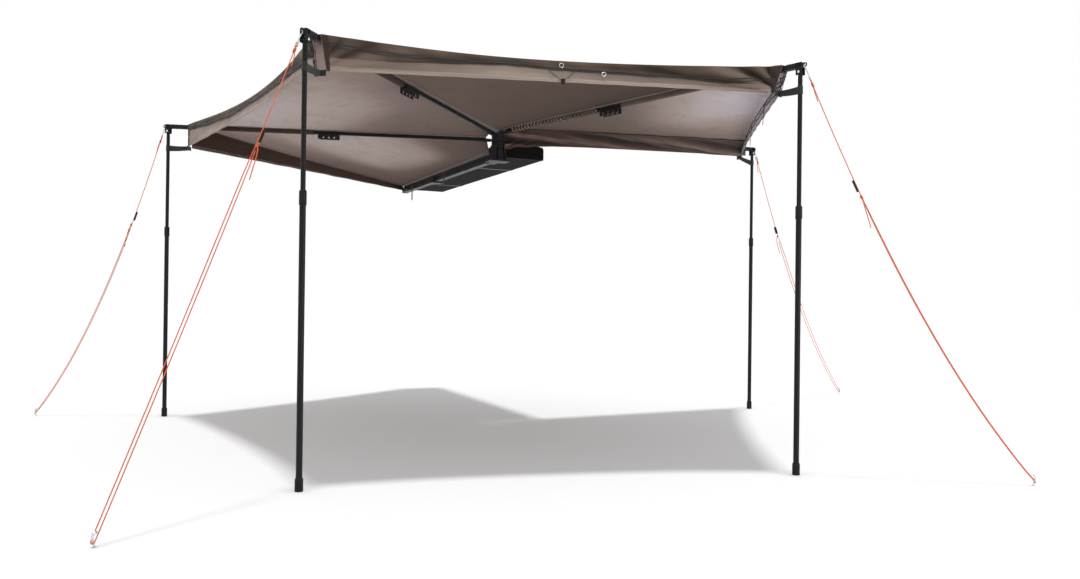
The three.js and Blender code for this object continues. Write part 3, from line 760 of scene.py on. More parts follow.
class Weaver:
    """Cloth and cord meshes, made from grids and routes with their UV maps in metres."""

    @staticmethod
    def mesh(name: str, points: np.ndarray, faces: Sequence[Sequence[int]], chart: np.ndarray) -> Piece:
        """Makes a smooth mesh object.

        Args:
            name: its name.
            points: its points.
            faces: each face's points.
            chart: each point's place on the cloth, in metres.

        Returns:
            The piece.
        """
        data = bpy.data.meshes.new(name)
        data.from_pydata([tuple(p) for p in points], [], [tuple(f) for f in faces])
        corners = np.array([loop.vertex_index for loop in data.loops])
        layer = data.uv_layers.new(name="UVMap")
        layer.data.foreach_set("uv", np.asarray(chart, dtype=float)[corners].ravel())
        data.polygons.foreach_set("use_smooth", [True] * len(data.polygons))
        data.update()
        obj = bpy.data.objects.new(name, data)
        bpy.context.collection.objects.link(obj)
        return obj

    @staticmethod
    def grid_chart(grid: np.ndarray) -> np.ndarray:
        """Measures a grid's rows and columns to lay it flat.

        Args:
            grid: points in rows and columns.

        Returns:
            Each point's place across and along the cloth.
        """
        rows, columns = grid.shape[:2]
        down, over = (np.cumsum(norm(np.diff(grid, axis=k), axis=2), axis=k) for k in (0, 1))
        down = np.concatenate([np.zeros((1, columns)), down])
        over = np.concatenate([np.zeros((rows, 1)), over], axis=1)
        return np.stack([over - over[:, columns // 2 : columns // 2 + 1], down], axis=2)

    @staticmethod
    def grid_faces(rows: int, columns: int, start: int = 0, flip: bool = False) -> list[tuple[int, ...]]:
        """Lists the faces of a grid of points, of which the first has the number start."""
        corners = [start + i * columns + j for i in range(rows - 1) for j in range(columns - 1)]
        return [(a, a + columns, a + columns + 1, a + 1)[:: -1 if flip else 1] for a in corners]

    @classmethod
    def cloth(
        cls, name: str, grid: np.ndarray, thickness: float, flip: bool = False, glow: np.ndarray | None = None
    ) -> Piece:
        """Makes a strip or sheet with a real thickness.

        Args:
            name: its name.
            grid: points of its middle in rows and columns.
            thickness: the cloth's thickness.
            flip: True turns its outside over.
            glow: the painted light and shade at each point, from 0 to 1.

        Returns:
            The piece.
        """
        faces = cls.grid_faces(*grid.shape[:2], flip=flip)
        obj = cls.mesh(name, grid.reshape(-1, 3), faces, cls.grid_chart(grid).reshape(-1, 2))
        if glow is not None:
            cls.lit(obj, glow)
        return cls.thickened(obj, thickness)

    @staticmethod
    def lit(obj: Piece, glow: np.ndarray, name: str = "glow") -> None:
        """Stores the cloth's painted light and shade at each of a mesh's points."""
        layer = obj.data.attributes.new(name, "FLOAT", "POINT")
        layer.data.foreach_set("value", np.clip(glow, 0, 1).astype(np.float32).ravel())

    @staticmethod
    def thickened(obj: Piece, thickness: float) -> Piece:
        """Gives an open sheet its thickness, half to each side."""
        return Bench.modified(
            obj, "SOLIDIFY", thickness=thickness, offset=0, material_offset=1, material_offset_rim=0,
            use_even_offset=False, use_rim=True,
        )

    @staticmethod
    def smooth_route(points: Sequence[Sequence[float]], spacing: float) -> np.ndarray:
        """Draws one smooth line through points and steps along it evenly.

        Args:
            points: the points that it passes.
            spacing: about how far apart the steps are.

        Returns:
            The steps' places.
        """
        p = np.asarray(points, dtype=float)
        padded = np.concatenate([[2 * p[0] - p[1]], p, [2 * p[-1] - p[-2]]])
        dense = []
        for k in range(len(p) - 1):
            near = padded[k : k + 4]
            knots = np.cumsum([0] + [max(norm(near[i + 1] - near[i]), 1e-6) ** 0.5 for i in range(3)])
            spans = ((knots[:3], knots[1:]), (knots[:2], knots[2:]), (knots[1:2], knots[2:3]))
            for t in np.linspace(knots[1], knots[2], 13)[:-1]:
                level = list(near)
                for low, high in spans:
                    level = [
                        (b - t) / (b - a) * first + (t - a) / (b - a) * second
                        for a, b, first, second in zip(low, high, level, level[1:])
                    ]
                dense.append(level[0])
        line = np.asarray([*dense, p[-1]])
        run = run_of(line)
        steps = np.linspace(0, run[-1], max(3, int(round(run[-1] / spacing)) + 1))
        return np.stack([np.interp(steps, run, line[:, k]) for k in range(3)], axis=1)

    @classmethod
    def tube(
        cls, name: str, points: Sequence[np.ndarray], chart: Sequence[Sequence[float]], sides: int
    ) -> Piece:
        """Skins rings of points and closes both ends.

        Args:
            name: its name.
            points: the points of each ring in turn.
            chart: each point's place around and along the tube.
            sides: the points to a ring.

        Returns:
            The piece.
        """
        last = len(points) - sides
        pairs = [(k + j, k + (j + 1) % sides) for k in range(0, last, sides) for j in range(sides)]
        faces = [(a, b, b + sides, a + sides) for a, b in pairs]
        faces += [tuple(range(sides))[::-1], tuple(range(last, last + sides))]
        return cls.mesh(name, points, faces, chart)

    @classmethod
    def cord(cls, name: str, line: np.ndarray, radius: float, sides: int = 8) -> Piece:
        """Makes a round cord or wire along a line, closed at both ends.

        Args:
            name: its name.
            line: the points it follows.
            radius: its radius.
            sides: the sides of its section.

        Returns:
            The piece, with its UV map around and along it.
        """
        tangents = np.gradient(line, axis=0)
        tangents /= norm(tangents, axis=1)[:, None]
        side = np.cross(tangents[0], (0.0, 0.0, 1.0))
        if norm(side) < 0.1:
            side = np.cross(tangents[0], (1.0, 0.0, 0.0))
        points, chart = [], []
        for place, tangent, run in zip(line, tangents, run_of(line)):
            side = unit(side - tangent * (side @ tangent))
            other = np.cross(tangent, side)
            for j in range(sides):
                turn = TAU * j / sides
                points.append(place + radius * (math.cos(turn) * side + math.sin(turn) * other))
                chart.append((j / sides, run))
        return cls.tube(name, points, chart, sides)


# The frame's arms


@dataclass(frozen=True)
class Arm:
    """One arm's place in the fan, as the frame's solids have it."""

    name: str
    order: int
    angle: float
    reach: float
    clip_at: float
    corner: float
    hem_back: float
    strap_below: float
    sag: float
    peg_out: float
    peg_turn: float

    @property
    def hub_z(self) -> float:
        """Height of the knuckle's middle."""
        return 0.1275 + 0.022 * self.order

    @property
    def slope(self) -> float:
        """The arm's rise, in radians."""
        return math.atan((0.21 + 0.008 * self.order - self.hub_z) / self.reach)

    @property
    def turn(self) -> float:
        """The arm's turn about the hub, in radians."""
        return math.radians(self.angle)

    @property
    def length(self) -> float:
        """From the hub axis to above the leg's pivot, along the arm."""
        return (self.reach - 0.03 * math.sin(self.slope)) / math.cos(self.slope)

    @property
    def pivot_z(self) -> float:
        """Height of the leg's pivot."""
        return self.hub_z + self.length * math.sin(self.slope) - 0.03 * math.cos(self.slope)

    @property
    def body(self) -> str:
        """The frame's body that the arm is."""
        return f"arm_{self.name}"

    @property
    def place(self) -> Matrix:
        """From across, along and above the arm to the part's frame."""
        lift = shift((0, 0, self.hub_z))
        return Matrix.Rotation(self.turn, 4, "Z") @ lift @ Matrix.Rotation(self.slope, 4, "X")

    @property
    def leg_place(self) -> Matrix:
        """From the leg's pivot, level, to the part's frame."""
        return Matrix.Rotation(self.turn, 4, "Z") @ shift((0, self.reach, self.pivot_z))

    def at(self, across: float, along: float, above: float) -> np.ndarray:
        """Places a point given across, along and above the arm."""
        return np.array(self.place @ Vector((across, along, above)))


ARMS = (
    Arm("a", 0, 62, 2.03, 1.03, 0.135, 0.0, 0.104, 0.185, 0.756, 7),
    Arm("b", 1, 136, 1.99, 1.125, 0.075, 0.035, 0.105, 0.012, 0.875, -8),
    Arm("c", 2, 199.5, 2.0, 0.895, 0.075, 0.035, 0.078, 0.15, 0.959, 36),
    Arm("d", 3, 271.5, 1.92, 1.0, 0.078, 0.035, 0.064, 0.17, 1.428, 21),
)


def fitted(piece: Piece, body: str, slot: str, *nodes: str) -> Piece:
    """Lets a piece ride on its body and stand for solids of the frame.

    Args:
        piece: the piece.
        body: the body that carries it.
        slot: the record's material slot; not used.
        nodes: the solids that it replaces.

    Returns:
        The piece.
    """
    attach(piece, body)
    if nodes:
        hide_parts(*nodes)
    LOG.info("%s", piece.name)
    return piece


# Legs


@dataclass
class Legs:
    """The four telescopic legs, whose like pieces are modelled once and copied."""

    upper: float = 0.01
    lower: float = 0.0125
    wall: float = 0.0015
    edge: float = 0.0004
    head: float = 0.034
    collar_top: float = -0.585
    collar_low: float = -0.643
    collar_step: float = -0.613
    collar: float = 0.015
    upper_low: float = -1.013
    foot: float = 0.0165
    foot_height: float = 0.052
    foot_floor: float = 0.008
    sides: int = 48
    flute: int = 4

    def pipe(self, name: str, radius: float, low: float, top: float) -> Piece:
        """Turns one open-ended tube with broken edges.

        Args:
            name: the tube's name.
            radius: its outer radius.
            low: its lower end.
            top: its upper end.

        Returns:
            The tube.
        """
        inner = radius - self.wall
        profile = (
            (inner, low), (radius - self.edge, low), (radius, low + self.edge),
            (radius, top - self.edge), (radius - self.edge, top), (inner, top),
        )
        return Bench.turned(name, profile, self.sides, hollow=True)

    def upper_tube(self) -> Piece:
        """Makes the upper tube with the moulded, bored plug in its head.

        Returns:
            The tube, hanging from the pivot at the origin.
        """
        tube = Finish.POWDER.dress(self.pipe("upper_tube", self.upper, self.upper_low, -self.head))
        shank = self.upper - self.wall - 0.0001
        plug = Bench.turned(
            "plug",
            (
                (shank - 0.0005, -0.055), (shank, -0.0545), (shank, -self.head + 0.0002),
                (self.upper + 0.0002, -self.head + 0.0002), (self.upper + 0.0002, -0.0312), (0.0097, -0.0305),
                (0.0098, -0.004), (0.0093, 0.001), (0.0079, 0.0053), (0.0053, 0.0082), (0.002, 0.0097),
            ),
            self.sides,
        )
        bore = Bench.settled(Bench.turned("bore", ((0.0043, -0.02), (0.0043, 0.02)), 24), SIDEWAYS)
        Finish.MOULDING.dress(Bench.cut(plug, bore))
        return Bench.joined("upper_tube_model", [tube, plug])

    def fluted(self, place: Vector) -> bool:
        """Says whether a point of the collar lies in one of its grip's flutes."""
        around = round(math.atan2(place.y, place.x) / TAU * self.sides) % self.flute
        in_band = self.collar_low + 0.012 < place.z < self.collar_top - 0.014
        return around < self.flute / 2 and in_band and math.hypot(place.x, place.y) > self.lower + 0.0012

    def twist_collar(self) -> Piece:
        """Makes the twist lock collar with its fluted grip and its two bands.

        Returns:
            The collar, under the pivot at the origin.
        """
        r, low, top = self.collar, self.collar_low, self.collar_top
        narrow, wide = self.upper + 0.0004, self.lower + 0.0004
        profile = (
            (wide, low), (r - 0.0008, low), (r, low + 0.0012), (r, low + 0.007), (r - 0.0007, low + 0.0075),
            (r - 0.0007, low + 0.009), (r, low + 0.0095), (r, low + 0.0115), (r, low + 0.013),
            (r, top - 0.015), (r, top - 0.0135), (r, top - 0.012), (r - 0.0008, top - 0.0115),
            (r - 0.0008, top - 0.01), (r - 0.0002, top - 0.0095), (r - 0.0002, top - 0.005),
            (r - 0.0022, top - 0.0008), (r - 0.0032, top), (narrow, top), (narrow, self.collar_step),
            (wide, self.collar_step),
        )
        collar = Bench.turned("collar_model", profile, self.sides, hollow=True)
        Bench.narrowed(collar, self.fluted, 0.945, (0, 0, low))
        return Finish.SMOOTH_PLASTIC.dress(collar)

    def boot(self) -> Piece:
        """Makes the ribbed rubber foot, standing on the origin.

        Returns:
            The foot.
        """
        r, bore = self.foot, self.lower + 0.0003
        profile = [(r - 0.003, 0.0), (r - 0.0008, 0.0012), (r, 0.004)]
        for step in range(3):
            z = 0.012 + 0.008 * step
            profile += [(r, z), (r - 0.001, z + 0.0008), (r - 0.001, z + 0.0022), (r, z + 0.003)]
        profile += [
            (r - 0.0003, 0.044), (r - 0.0014, 0.0505), (r - 0.0026, self.foot_height),
            (bore + 0.0002, self.foot_height), (bore, self.foot_height - 0.0006), (bore, self.foot_floor),
        ]
        return Finish.RUBBER.dress(Bench.turned("foot_model", profile, self.sides))

    def build(self) -> None:
        """Builds the pieces and stands a copy of each under its arm."""
        models = (self.upper_tube(), self.twist_collar(), self.boot())
        for arm in ARMS:
            name = f"leg_{arm.name}"
            place = arm.leg_place
            ground = shift((0, 0, GROUND - arm.pivot_z))
            tube = Bench.copied(models[0], f"{name}_upper", place)
            fitted(tube, f"{name}_upper", "black_powder_coat", f"{name}_upper_tube")
            collar = Bench.copied(models[1], f"{name}_twist_collar", place)
            fitted(collar, f"{name}_lock", "black_plastic", f"{name}_lock_collar")
            foot = Bench.copied(models[2], f"{name}_boot", place @ ground)
            fitted(foot, f"{name}_lower", "rubber", f"{name}_foot")
            low = GROUND - arm.pivot_z + self.foot_floor + 0.0003
            pipe = self.pipe(f"{name}_lower_pipe", self.lower, low, self.collar_step - 0.0003)
            Finish.POWDER.dress(Bench.settled(pipe, place))
            fitted(pipe, f"{name}_lower", "black_powder_coat", f"{name}_lower_tube")
        Bench.scrapped(*models)


# Arm fittings


@dataclass
class LegClips:
    """The clips under the arms that hold the folded legs."""

    length: float = 0.125
    half_width: float = 0.019
    top: float = 0.006
    low: float = -0.037
    arm_half: float = 0.0113
    arm_seat: float = -0.0093
    leg_half: float = 0.0131
    leg_seat: float = -0.0148

    def model(self) -> Piece:
        """Makes one clip with both channels, its slots and its flared jaws.

        Returns:
            The clip, under an arm along +Y.
        """
        half, wide = self.length / 2, self.half_width
        far, beside = half + 0.01, wide + 0.01
        arm, leg = self.arm_half, self.leg_half
        clip = Bench.block("clip_model", (-wide, -half, self.low), (wide, half, self.top), 0.0032)
        tools = [
            Bench.block("arm_channel", (-arm, -far, self.arm_seat), (arm, far, 0.03), 0.002),
            Bench.block("leg_channel", (-leg, -far, -0.06), (leg, far, self.leg_seat), 0.005, 5),
        ]
        for y in (-0.033, 0.0, 0.033):
            low = (-beside, y - 0.011, self.low + 0.005)
            tools.append(Bench.block("slot", low, (beside, y + 0.011, -0.019), 0.002))
        return Finish.SMOOTH_PLASTIC.dress(Bench.cut(clip, *tools))

    def build(self) -> None:
        """Seats a copy of the clip under each arm."""
        model = self.model()
        for arm in ARMS:
            seat = arm.place @ shift((0, arm.clip_at, 0))
            clip = Bench.copied(model, f"leg_clip_{arm.name}", seat)
            fitted(clip, arm.body, "black_plastic", f"arm_{arm.name}_leg_clip")
        Bench.scrapped(model)


@dataclass
class EndFitting:
    """The moulded fitting on an arm's tip, with its pivot pin, eye and steel hook."""

    arm: Arm
    half_width: float = 0.0143
    half_height: float = 0.012
    bore_width: float = 0.0113
    bore_height: float = 0.0093
    rib: float = 0.0007
    ear_in: float = 0.0108
    ear_out: float = 0.0158
    ear_half: float = 0.015
    pivot_drop: float = 0.03
    eye_out: float = 0.023
    eye_ring: float = 0.0075
    eye_wire: float = 0.0027
    pin: tuple[tuple[float, float], ...] = (
        (0.0045, -0.0198), (0.0062, -0.0186), (0.0062, -0.016), (0.004, -0.0159),
        (0.004, 0.0159), (0.0062, 0.016), (0.0062, 0.0186), (0.0045, 0.0198),
    )

    def socket(self) -> list[Piece]:
        """Makes the socket round the tube and the ribs along it.

        Returns:
            Its shells, with the arm along +Y.
        """
        tip, wide, high = self.arm.length, self.half_width, self.half_height
        shells = [Bench.block("socket", (-wide, tip - 0.15, -high), (wide, tip - 0.02, high), 0.0035)]
        wide, high, bore = wide + self.rib, high + self.rib, self.bore_width
        for y in (-0.15, -0.118, -0.086, -0.058, -0.046, -0.034):
            shells.append(Bench.block("rib", (-wide, tip + y, -high), (wide, tip + y + 0.004, high), 0.0015))
        for shell in shells:
            low, top = (-bore, tip - 0.16, -self.bore_height), (bore, tip - 0.0617, self.bore_height)
            Bench.cut(shell, Bench.block("bore", low, top, 0.003))
        return shells

    def head(self) -> list[Piece]:
        """Makes the crown, the two cheeks and the eye.

        Returns:
            Their shells.
        """
        tip, back, out, high = self.arm.length, self.ear_half, self.ear_out, self.half_height
        shells = [Bench.block("crown", (-out, tip - 0.024, -high), (out, tip + back, high), 0.003)]
        for side in (-1, 1):
            x = sorted((side * self.ear_in, side * out))
            low = (x[0], tip - back, -self.pivot_drop - 0.013)
            shells.append(Bench.block("cheek", low, (x[1], tip + back, high), 0.0022))
        ring = Bench.ring("eye", self.eye_ring, self.eye_wire, 36)
        low, top = (-0.004, tip + back - 0.004, -0.005), (0.004, tip + back + 0.0026, 0.005)
        eye = Bench.settled(ring, shift((0, tip + self.eye_out, 0)) @ SIDEWAYS)
        return [*shells, eye, Bench.block("neck", low, top, 0.0015)]

    def hook(self) -> list[Piece]:
        """Bends the steel hook that hangs from the eye towards the peg.

        Returns:
            Its wire and its ring, in the part's frame.
        """
        guy = GuyRope(self.arm)
        off = np.cross(guy.hang, guy.side)
        bends = [(-0.0045, 0.0035), (-0.0056, 0), (-0.003, -0.0048), (0.006, -0.0022), (0.02, 0), (0.0475, 0)]
        line = [guy.eye + guy.hang * ahead + off * aside for ahead, aside in bends]
        wire = Weaver.cord("hook_wire", Weaver.smooth_route(line, 0.002), guy.hook_wire, 14)
        middle = guy.start - guy.hang * (guy.hook_loop + guy.hook_wire + guy.clearance)
        ring = Bench.ring("hook_ring", guy.hook_loop, guy.hook_wire, 30)
        return [wire, Bench.settled(ring, framed((guy.hang, guy.side, off), middle))]

    def build(self) -> None:
        """Builds the fitting and stands it in for its solid."""
        name = self.arm.name
        moulded = Bench.joined("moulded", [*self.socket(), *self.head()])
        Finish.MOULDING.dress(Bench.settled(moulded, self.arm.place))
        drop = shift((0, self.arm.length, -self.pivot_drop))
        pin = Bench.settled(Bench.turned("pin", self.pin, 32), self.arm.place @ drop @ SIDEWAYS)
        steel = Finish.ZINC.dress(Bench.joined("steel", [pin, *self.hook()]))
        fitting = Bench.joined(f"end_fitting_{name}", [moulded, steel])
        fitted(fitting, self.arm.body, "black_casting", f"arm_{name}_end_fitting")


# Guy ropes


@dataclass
class GuyRope:
    """One arm's rope, its slide and its peg, routed as in the frame's source."""

    arm: Arm
    radius: float = 0.002
    peg_wire: float = 0.0035
    hook_shank: float = 0.048
    hook_loop: float = 0.008
    hook_wire: float = 0.0025
    lean: float = math.radians(76)
    rope_at: float = 0.02
    shank: float = 0.034
    crook: float = 0.01
    clearance: float = 0.0003
    slide_share: float = 0.2
    slide_length: float = 0.055
    strands: tuple[Point, ...] = (
        (0, 0, 0), (0.03, 0, 0), (0.08, 0, 0), (0.14, 0, 0), (0.2, 0, 0), (0.23, 0, -1), (0.26, 0, -5),
        (0.3, 0, -8), *((share, 0, -9) for share in (0.4, 0.5, 0.6, 0.7, 0.8, 0.9, 0.97)),
        (1, -6, -9), (1, 2, -8.5), (1, 7, -5), (1, 9, 0), (1, 7, 5), (1, 2, 8.5), (1, -6, 9),
        *((share, 0, 9) for share in (0.97, 0.9, 0.8, 0.7, 0.6, 0.5, 0.4)), (0.3, 0, 8), (0.25, 0, 6.5),
    )
    knot_tail: tuple[Point, ...] = (
        (0.018, 0.004, 0), (0.03, 0.009, 0), (0.05, 0.012, 0.004), (0.075, 0.011, 0.01),
    )
    slide_tail: tuple[Point, ...] = (
        (0.014, 0.004, 0), (0.03, 0.014, 0), (0.055, 0.02, 0.008), (0.085, 0.021, 0.022), (0.11, 0.019, 0.04),
    )

    def __post_init__(self) -> None:
        """Works out the hook, the peg and the directions between them."""
        arm = self.arm
        up = np.array((0.0, 0.0, 1.0))
        turn = arm.turn + math.radians(arm.peg_turn)
        self.out = np.array((-math.sin(turn), math.cos(turn), 0.0))
        foot = np.array((-math.sin(arm.turn) * arm.reach, math.cos(arm.turn) * arm.reach, GROUND))
        self.eye = arm.at(0, arm.length + EndFitting.eye_out, -EndFitting.eye_ring)
        self.peg_foot = foot + self.out * arm.peg_out
        self.peg_axis = self.out * math.cos(self.lean) + up * math.sin(self.lean)
        self.peg_back = up * math.cos(self.lean) - self.out * math.sin(self.lean)
        self.bend = self.peg_foot + self.peg_axis * self.rope_at
        self.along = unit(self.bend - self.eye)
        self.side = unit(np.cross(up, self.along))
        self.hang = unit(self.bend - self.eye - 4 * arm.sag * up)
        hook = self.hook_shank + 2 * self.hook_loop + self.hook_wire + self.clearance
        self.start = self.eye + self.hang * hook
        self.slide_reach = self.slide_length / length_of(self.bend - self.start)
        cosine = float(self.along @ self.peg_axis)
        reach = self.peg_wire + self.radius + self.clearance
        self.snug = reach / math.sqrt(1 - cosine * cosine) / 0.009

    def on_rope(self, share: float) -> np.ndarray:
        """Places a share of the way down the slack rope's middle line."""
        point = self.start + (self.bend - self.start) * share
        return point - np.array((0, 0, 4 * self.arm.sag * share * (1 - share)))

    def route(self) -> np.ndarray:
        """Draws the rope from the hook, round the peg and back to its slide.

        Returns:
            The points it follows.
        """
        points = [
            self.on_rope(share) + self.along * (onward * self.snug / 1000) + self.side * (sideways / 1000)
            for share, onward, sideways in self.strands
        ]
        return Weaver.smooth_route(points, 0.005)

    def slide(self) -> Piece:
        """Models the moulded slide with its two eyes and gripping teeth.

        Returns:
            The slide, beside the rope where it divides.
        """
        parts = [Bench.block("body", (-0.009, 0, -0.006), (0.009, self.slide_length, 0), 0.0022)]
        for along in (0.0075, self.slide_length - 0.0075):
            parts.append(Bench.settled(Bench.ring("eye", 0.0044, 0.0013, 20), shift((0, along, 0.0001))))
        for step in range(4):
            low, top = (-0.0055, 0.019 + 0.0045 * step, -0.0001), (0.0055, 0.0213 + 0.0045 * step, 0.0006)
            parts.append(Bench.block("tooth", low, top, 0.0004, 1))
        slide = Finish.SMOOTH_PLASTIC.dress(Bench.joined(f"rope_slide_{self.arm.name}", parts))
        place = self.on_rope(self.slide_share)
        along = unit(self.on_rope(self.slide_share + self.slide_reach) - place)
        off = unit(np.cross(along, self.side))
        spot = place - off * (self.radius + self.clearance + 0.0004)
        return Bench.settled(slide, framed((-self.side, along, off), spot))

    def wound(self, at: np.ndarray, axis: np.ndarray, turns: int, radius: float, length: float) -> Piece:
        """Winds a short knot of rope round a line.

        Args:
            at: where it begins.
            axis: the line's direction.
            turns: how many times it goes round.
            radius: from the line to the wound rope's middle.
            length: how long the wound part is.

        Returns:
            The knot.
        """
        side = unit(np.cross(axis, (0.3, 0.2, 1.0)))
        other = np.cross(axis, side)
        points = []
        for k in range(turns * 10 + 1):
            angle, rise = TAU * k / 10, length * k / (turns * 10)
            points.append(at + axis * rise + radius * (math.cos(angle) * side + math.sin(angle) * other))
        return Weaver.cord("wound", Weaver.smooth_route(points, 0.0025), self.radius)

    def tail(self, at: np.ndarray, ahead: np.ndarray, steps: Sequence[Point]) -> Piece:
        """Lays a loose end from a knot, whose points lie so far ahead, aside and down."""
        points = [at + ahead * far + self.side * aside - np.array((0, 0, down)) for far, aside, down in steps]
        return Weaver.cord("tail", Weaver.smooth_route(points, 0.004), self.radius)

    def knot(self) -> Piece:
        """Models the loop through the hook, its stopper knot and the short tail.

        Returns:
            The knot, which hangs with the rope's first stretch.
        """
        points = []
        for angle in np.linspace(0, TAU, 13):
            ahead = 0.005 - self.hook_loop + 0.0115 * math.cos(angle)
            points.append(self.start + self.hang * ahead + self.side * (0.0065 * math.sin(angle)))
        loop = Weaver.cord("loop", Weaver.smooth_route(points, 0.003), self.radius)
        low = self.start + self.hang * 0.012
        wound = self.wound(low, self.hang, 4, 0.0042, 0.02)
        shells = [wound, loop, self.tail(low, self.hang, self.knot_tail)]
        return Finish.ROPE.dress(Bench.joined(f"rope_knot_{self.arm.name}", shells))

    def slide_knot(self) -> Piece:
        """Models the knot and hanging tail under the slide.

        Returns:
            The knot.
        """
        low = self.on_rope(self.slide_share + 1.15 * self.slide_reach) + self.side * 0.0045
        along = unit(self.on_rope(self.slide_share + 2 * self.slide_reach) - low)
        shells = [self.wound(low, along, 3, 0.0045, 0.016), self.tail(low, along, self.slide_tail)]
        return Finish.ROPE.dress(Bench.joined(f"slide_knot_{self.arm.name}", shells))

    def peg(self) -> Piece:
        """Bends the peg's steel wire, whose end curls back over the rope.

        Returns:
            The peg, cut off at the ground.
        """
        foot = self.peg_foot - self.peg_axis * (self.peg_wire * 0.1)
        points = [foot, foot + self.peg_axis * (self.shank / 2), foot + self.peg_axis * self.shank]
        for share in (0.25, 0.5, 0.75, 1):
            rise = self.peg_axis * (self.shank + self.crook * math.sin(math.pi * share))
            back = self.peg_back * (self.crook * (1 - math.cos(math.pi * share)))
            points.append(self.peg_foot + rise + back)
        peg = Weaver.cord(f"peg_{self.arm.name}", Weaver.smooth_route(points, 0.003), self.peg_wire, 16)
        Bench.opened(peg)
        bpy.ops.mesh.bisect(
            plane_co=(0, 0, GROUND + 0.0002), plane_no=(0, 0, -1), use_fill=True, clear_outer=True
        )
        return Finish.ZINC.dress(Bench.closed(peg, 50))

    def build(self) -> None:
        name, body = self.arm.name, self.arm.body
        line = self.route()
        rope = Finish.ROPE.dress(Weaver.cord(f"guy_rope_{name}", line, self.radius, 10))
        fitted(rope, body, "orange_cord", f"guy_{name}_rope")
        carried = [
            fitted(self.slide(), body, "black_plastic", f"guy_{name}_tensioner"),
            fitted(self.peg(), body, "bright_steel", f"guy_{name}_peg"),
            fitted(self.knot(), body, "orange_cord"),
            fitted(self.slide_knot(), body, "orange_cord"),
        ]
        length = float(run_of(line)[-1])
        LOG.info("guy rope %s: %.3f m", name, length)


# Canopy


def edge_line(arm: Arm | None, side: int, offset: float) -> tuple[np.ndarray, np.ndarray]:
    """Draws a line beside an arm's middle, or the rail's.

    Args:
        arm: the arm, or None for the rail.
        side: 1 where a panel begins and -1 where it ends.
        offset: how far beside the middle.

    Returns:
        Its start near the hub and its end at the canvas corner.
    """
    if arm is None:
        return tuple(np.array((-offset, y, RAIL_CANVAS_Z)) for y in (CANVAS_FROM, RAIL_CANVAS_TO))
    ends = (CANVAS_FROM, arm.length - arm.corner)
    return tuple(arm.at(-side * offset, along, CANVAS_OVER) for along in ends)


def arch(share: float | np.ndarray) -> float | np.ndarray:
    """Gives a parabola that is 0 at both ends and 1 in the middle."""
    return 4 * share * (1 - share)


def pleat(turn: float) -> float:
    """Gives a fold's height, from -1 to 1, with a crisp crest and a wide valley, for a turn in radians."""
    return 2 * abs((turn / TAU) % 1 * 2 - 1) ** 1.7 - 0.75


def crowded(count: int, first: float = 0.0, last: float = 1.0) -> np.ndarray:
    """Spreads so many shares from first to last, closer together towards both ends."""
    even = np.linspace(0, 1, count)
    return first + (last - first) * (even - 0.12 * np.sin(TAU * even))


def eased(heights: Sequence[float], share: float) -> float:
    """Draws a soft curve through heights that stand evenly apart.

    Args:
        heights: the heights, from the first end to the last.
        share: the way along, from 0 to 1.

    Returns:
        The curve's height there.
    """
    place = share * (len(heights) - 1)
    low = min(int(place), len(heights) - 2)
    part = place - low
    part = part * part * (3 - 2 * part)
    return heights[low] + (heights[low + 1] - heights[low]) * part


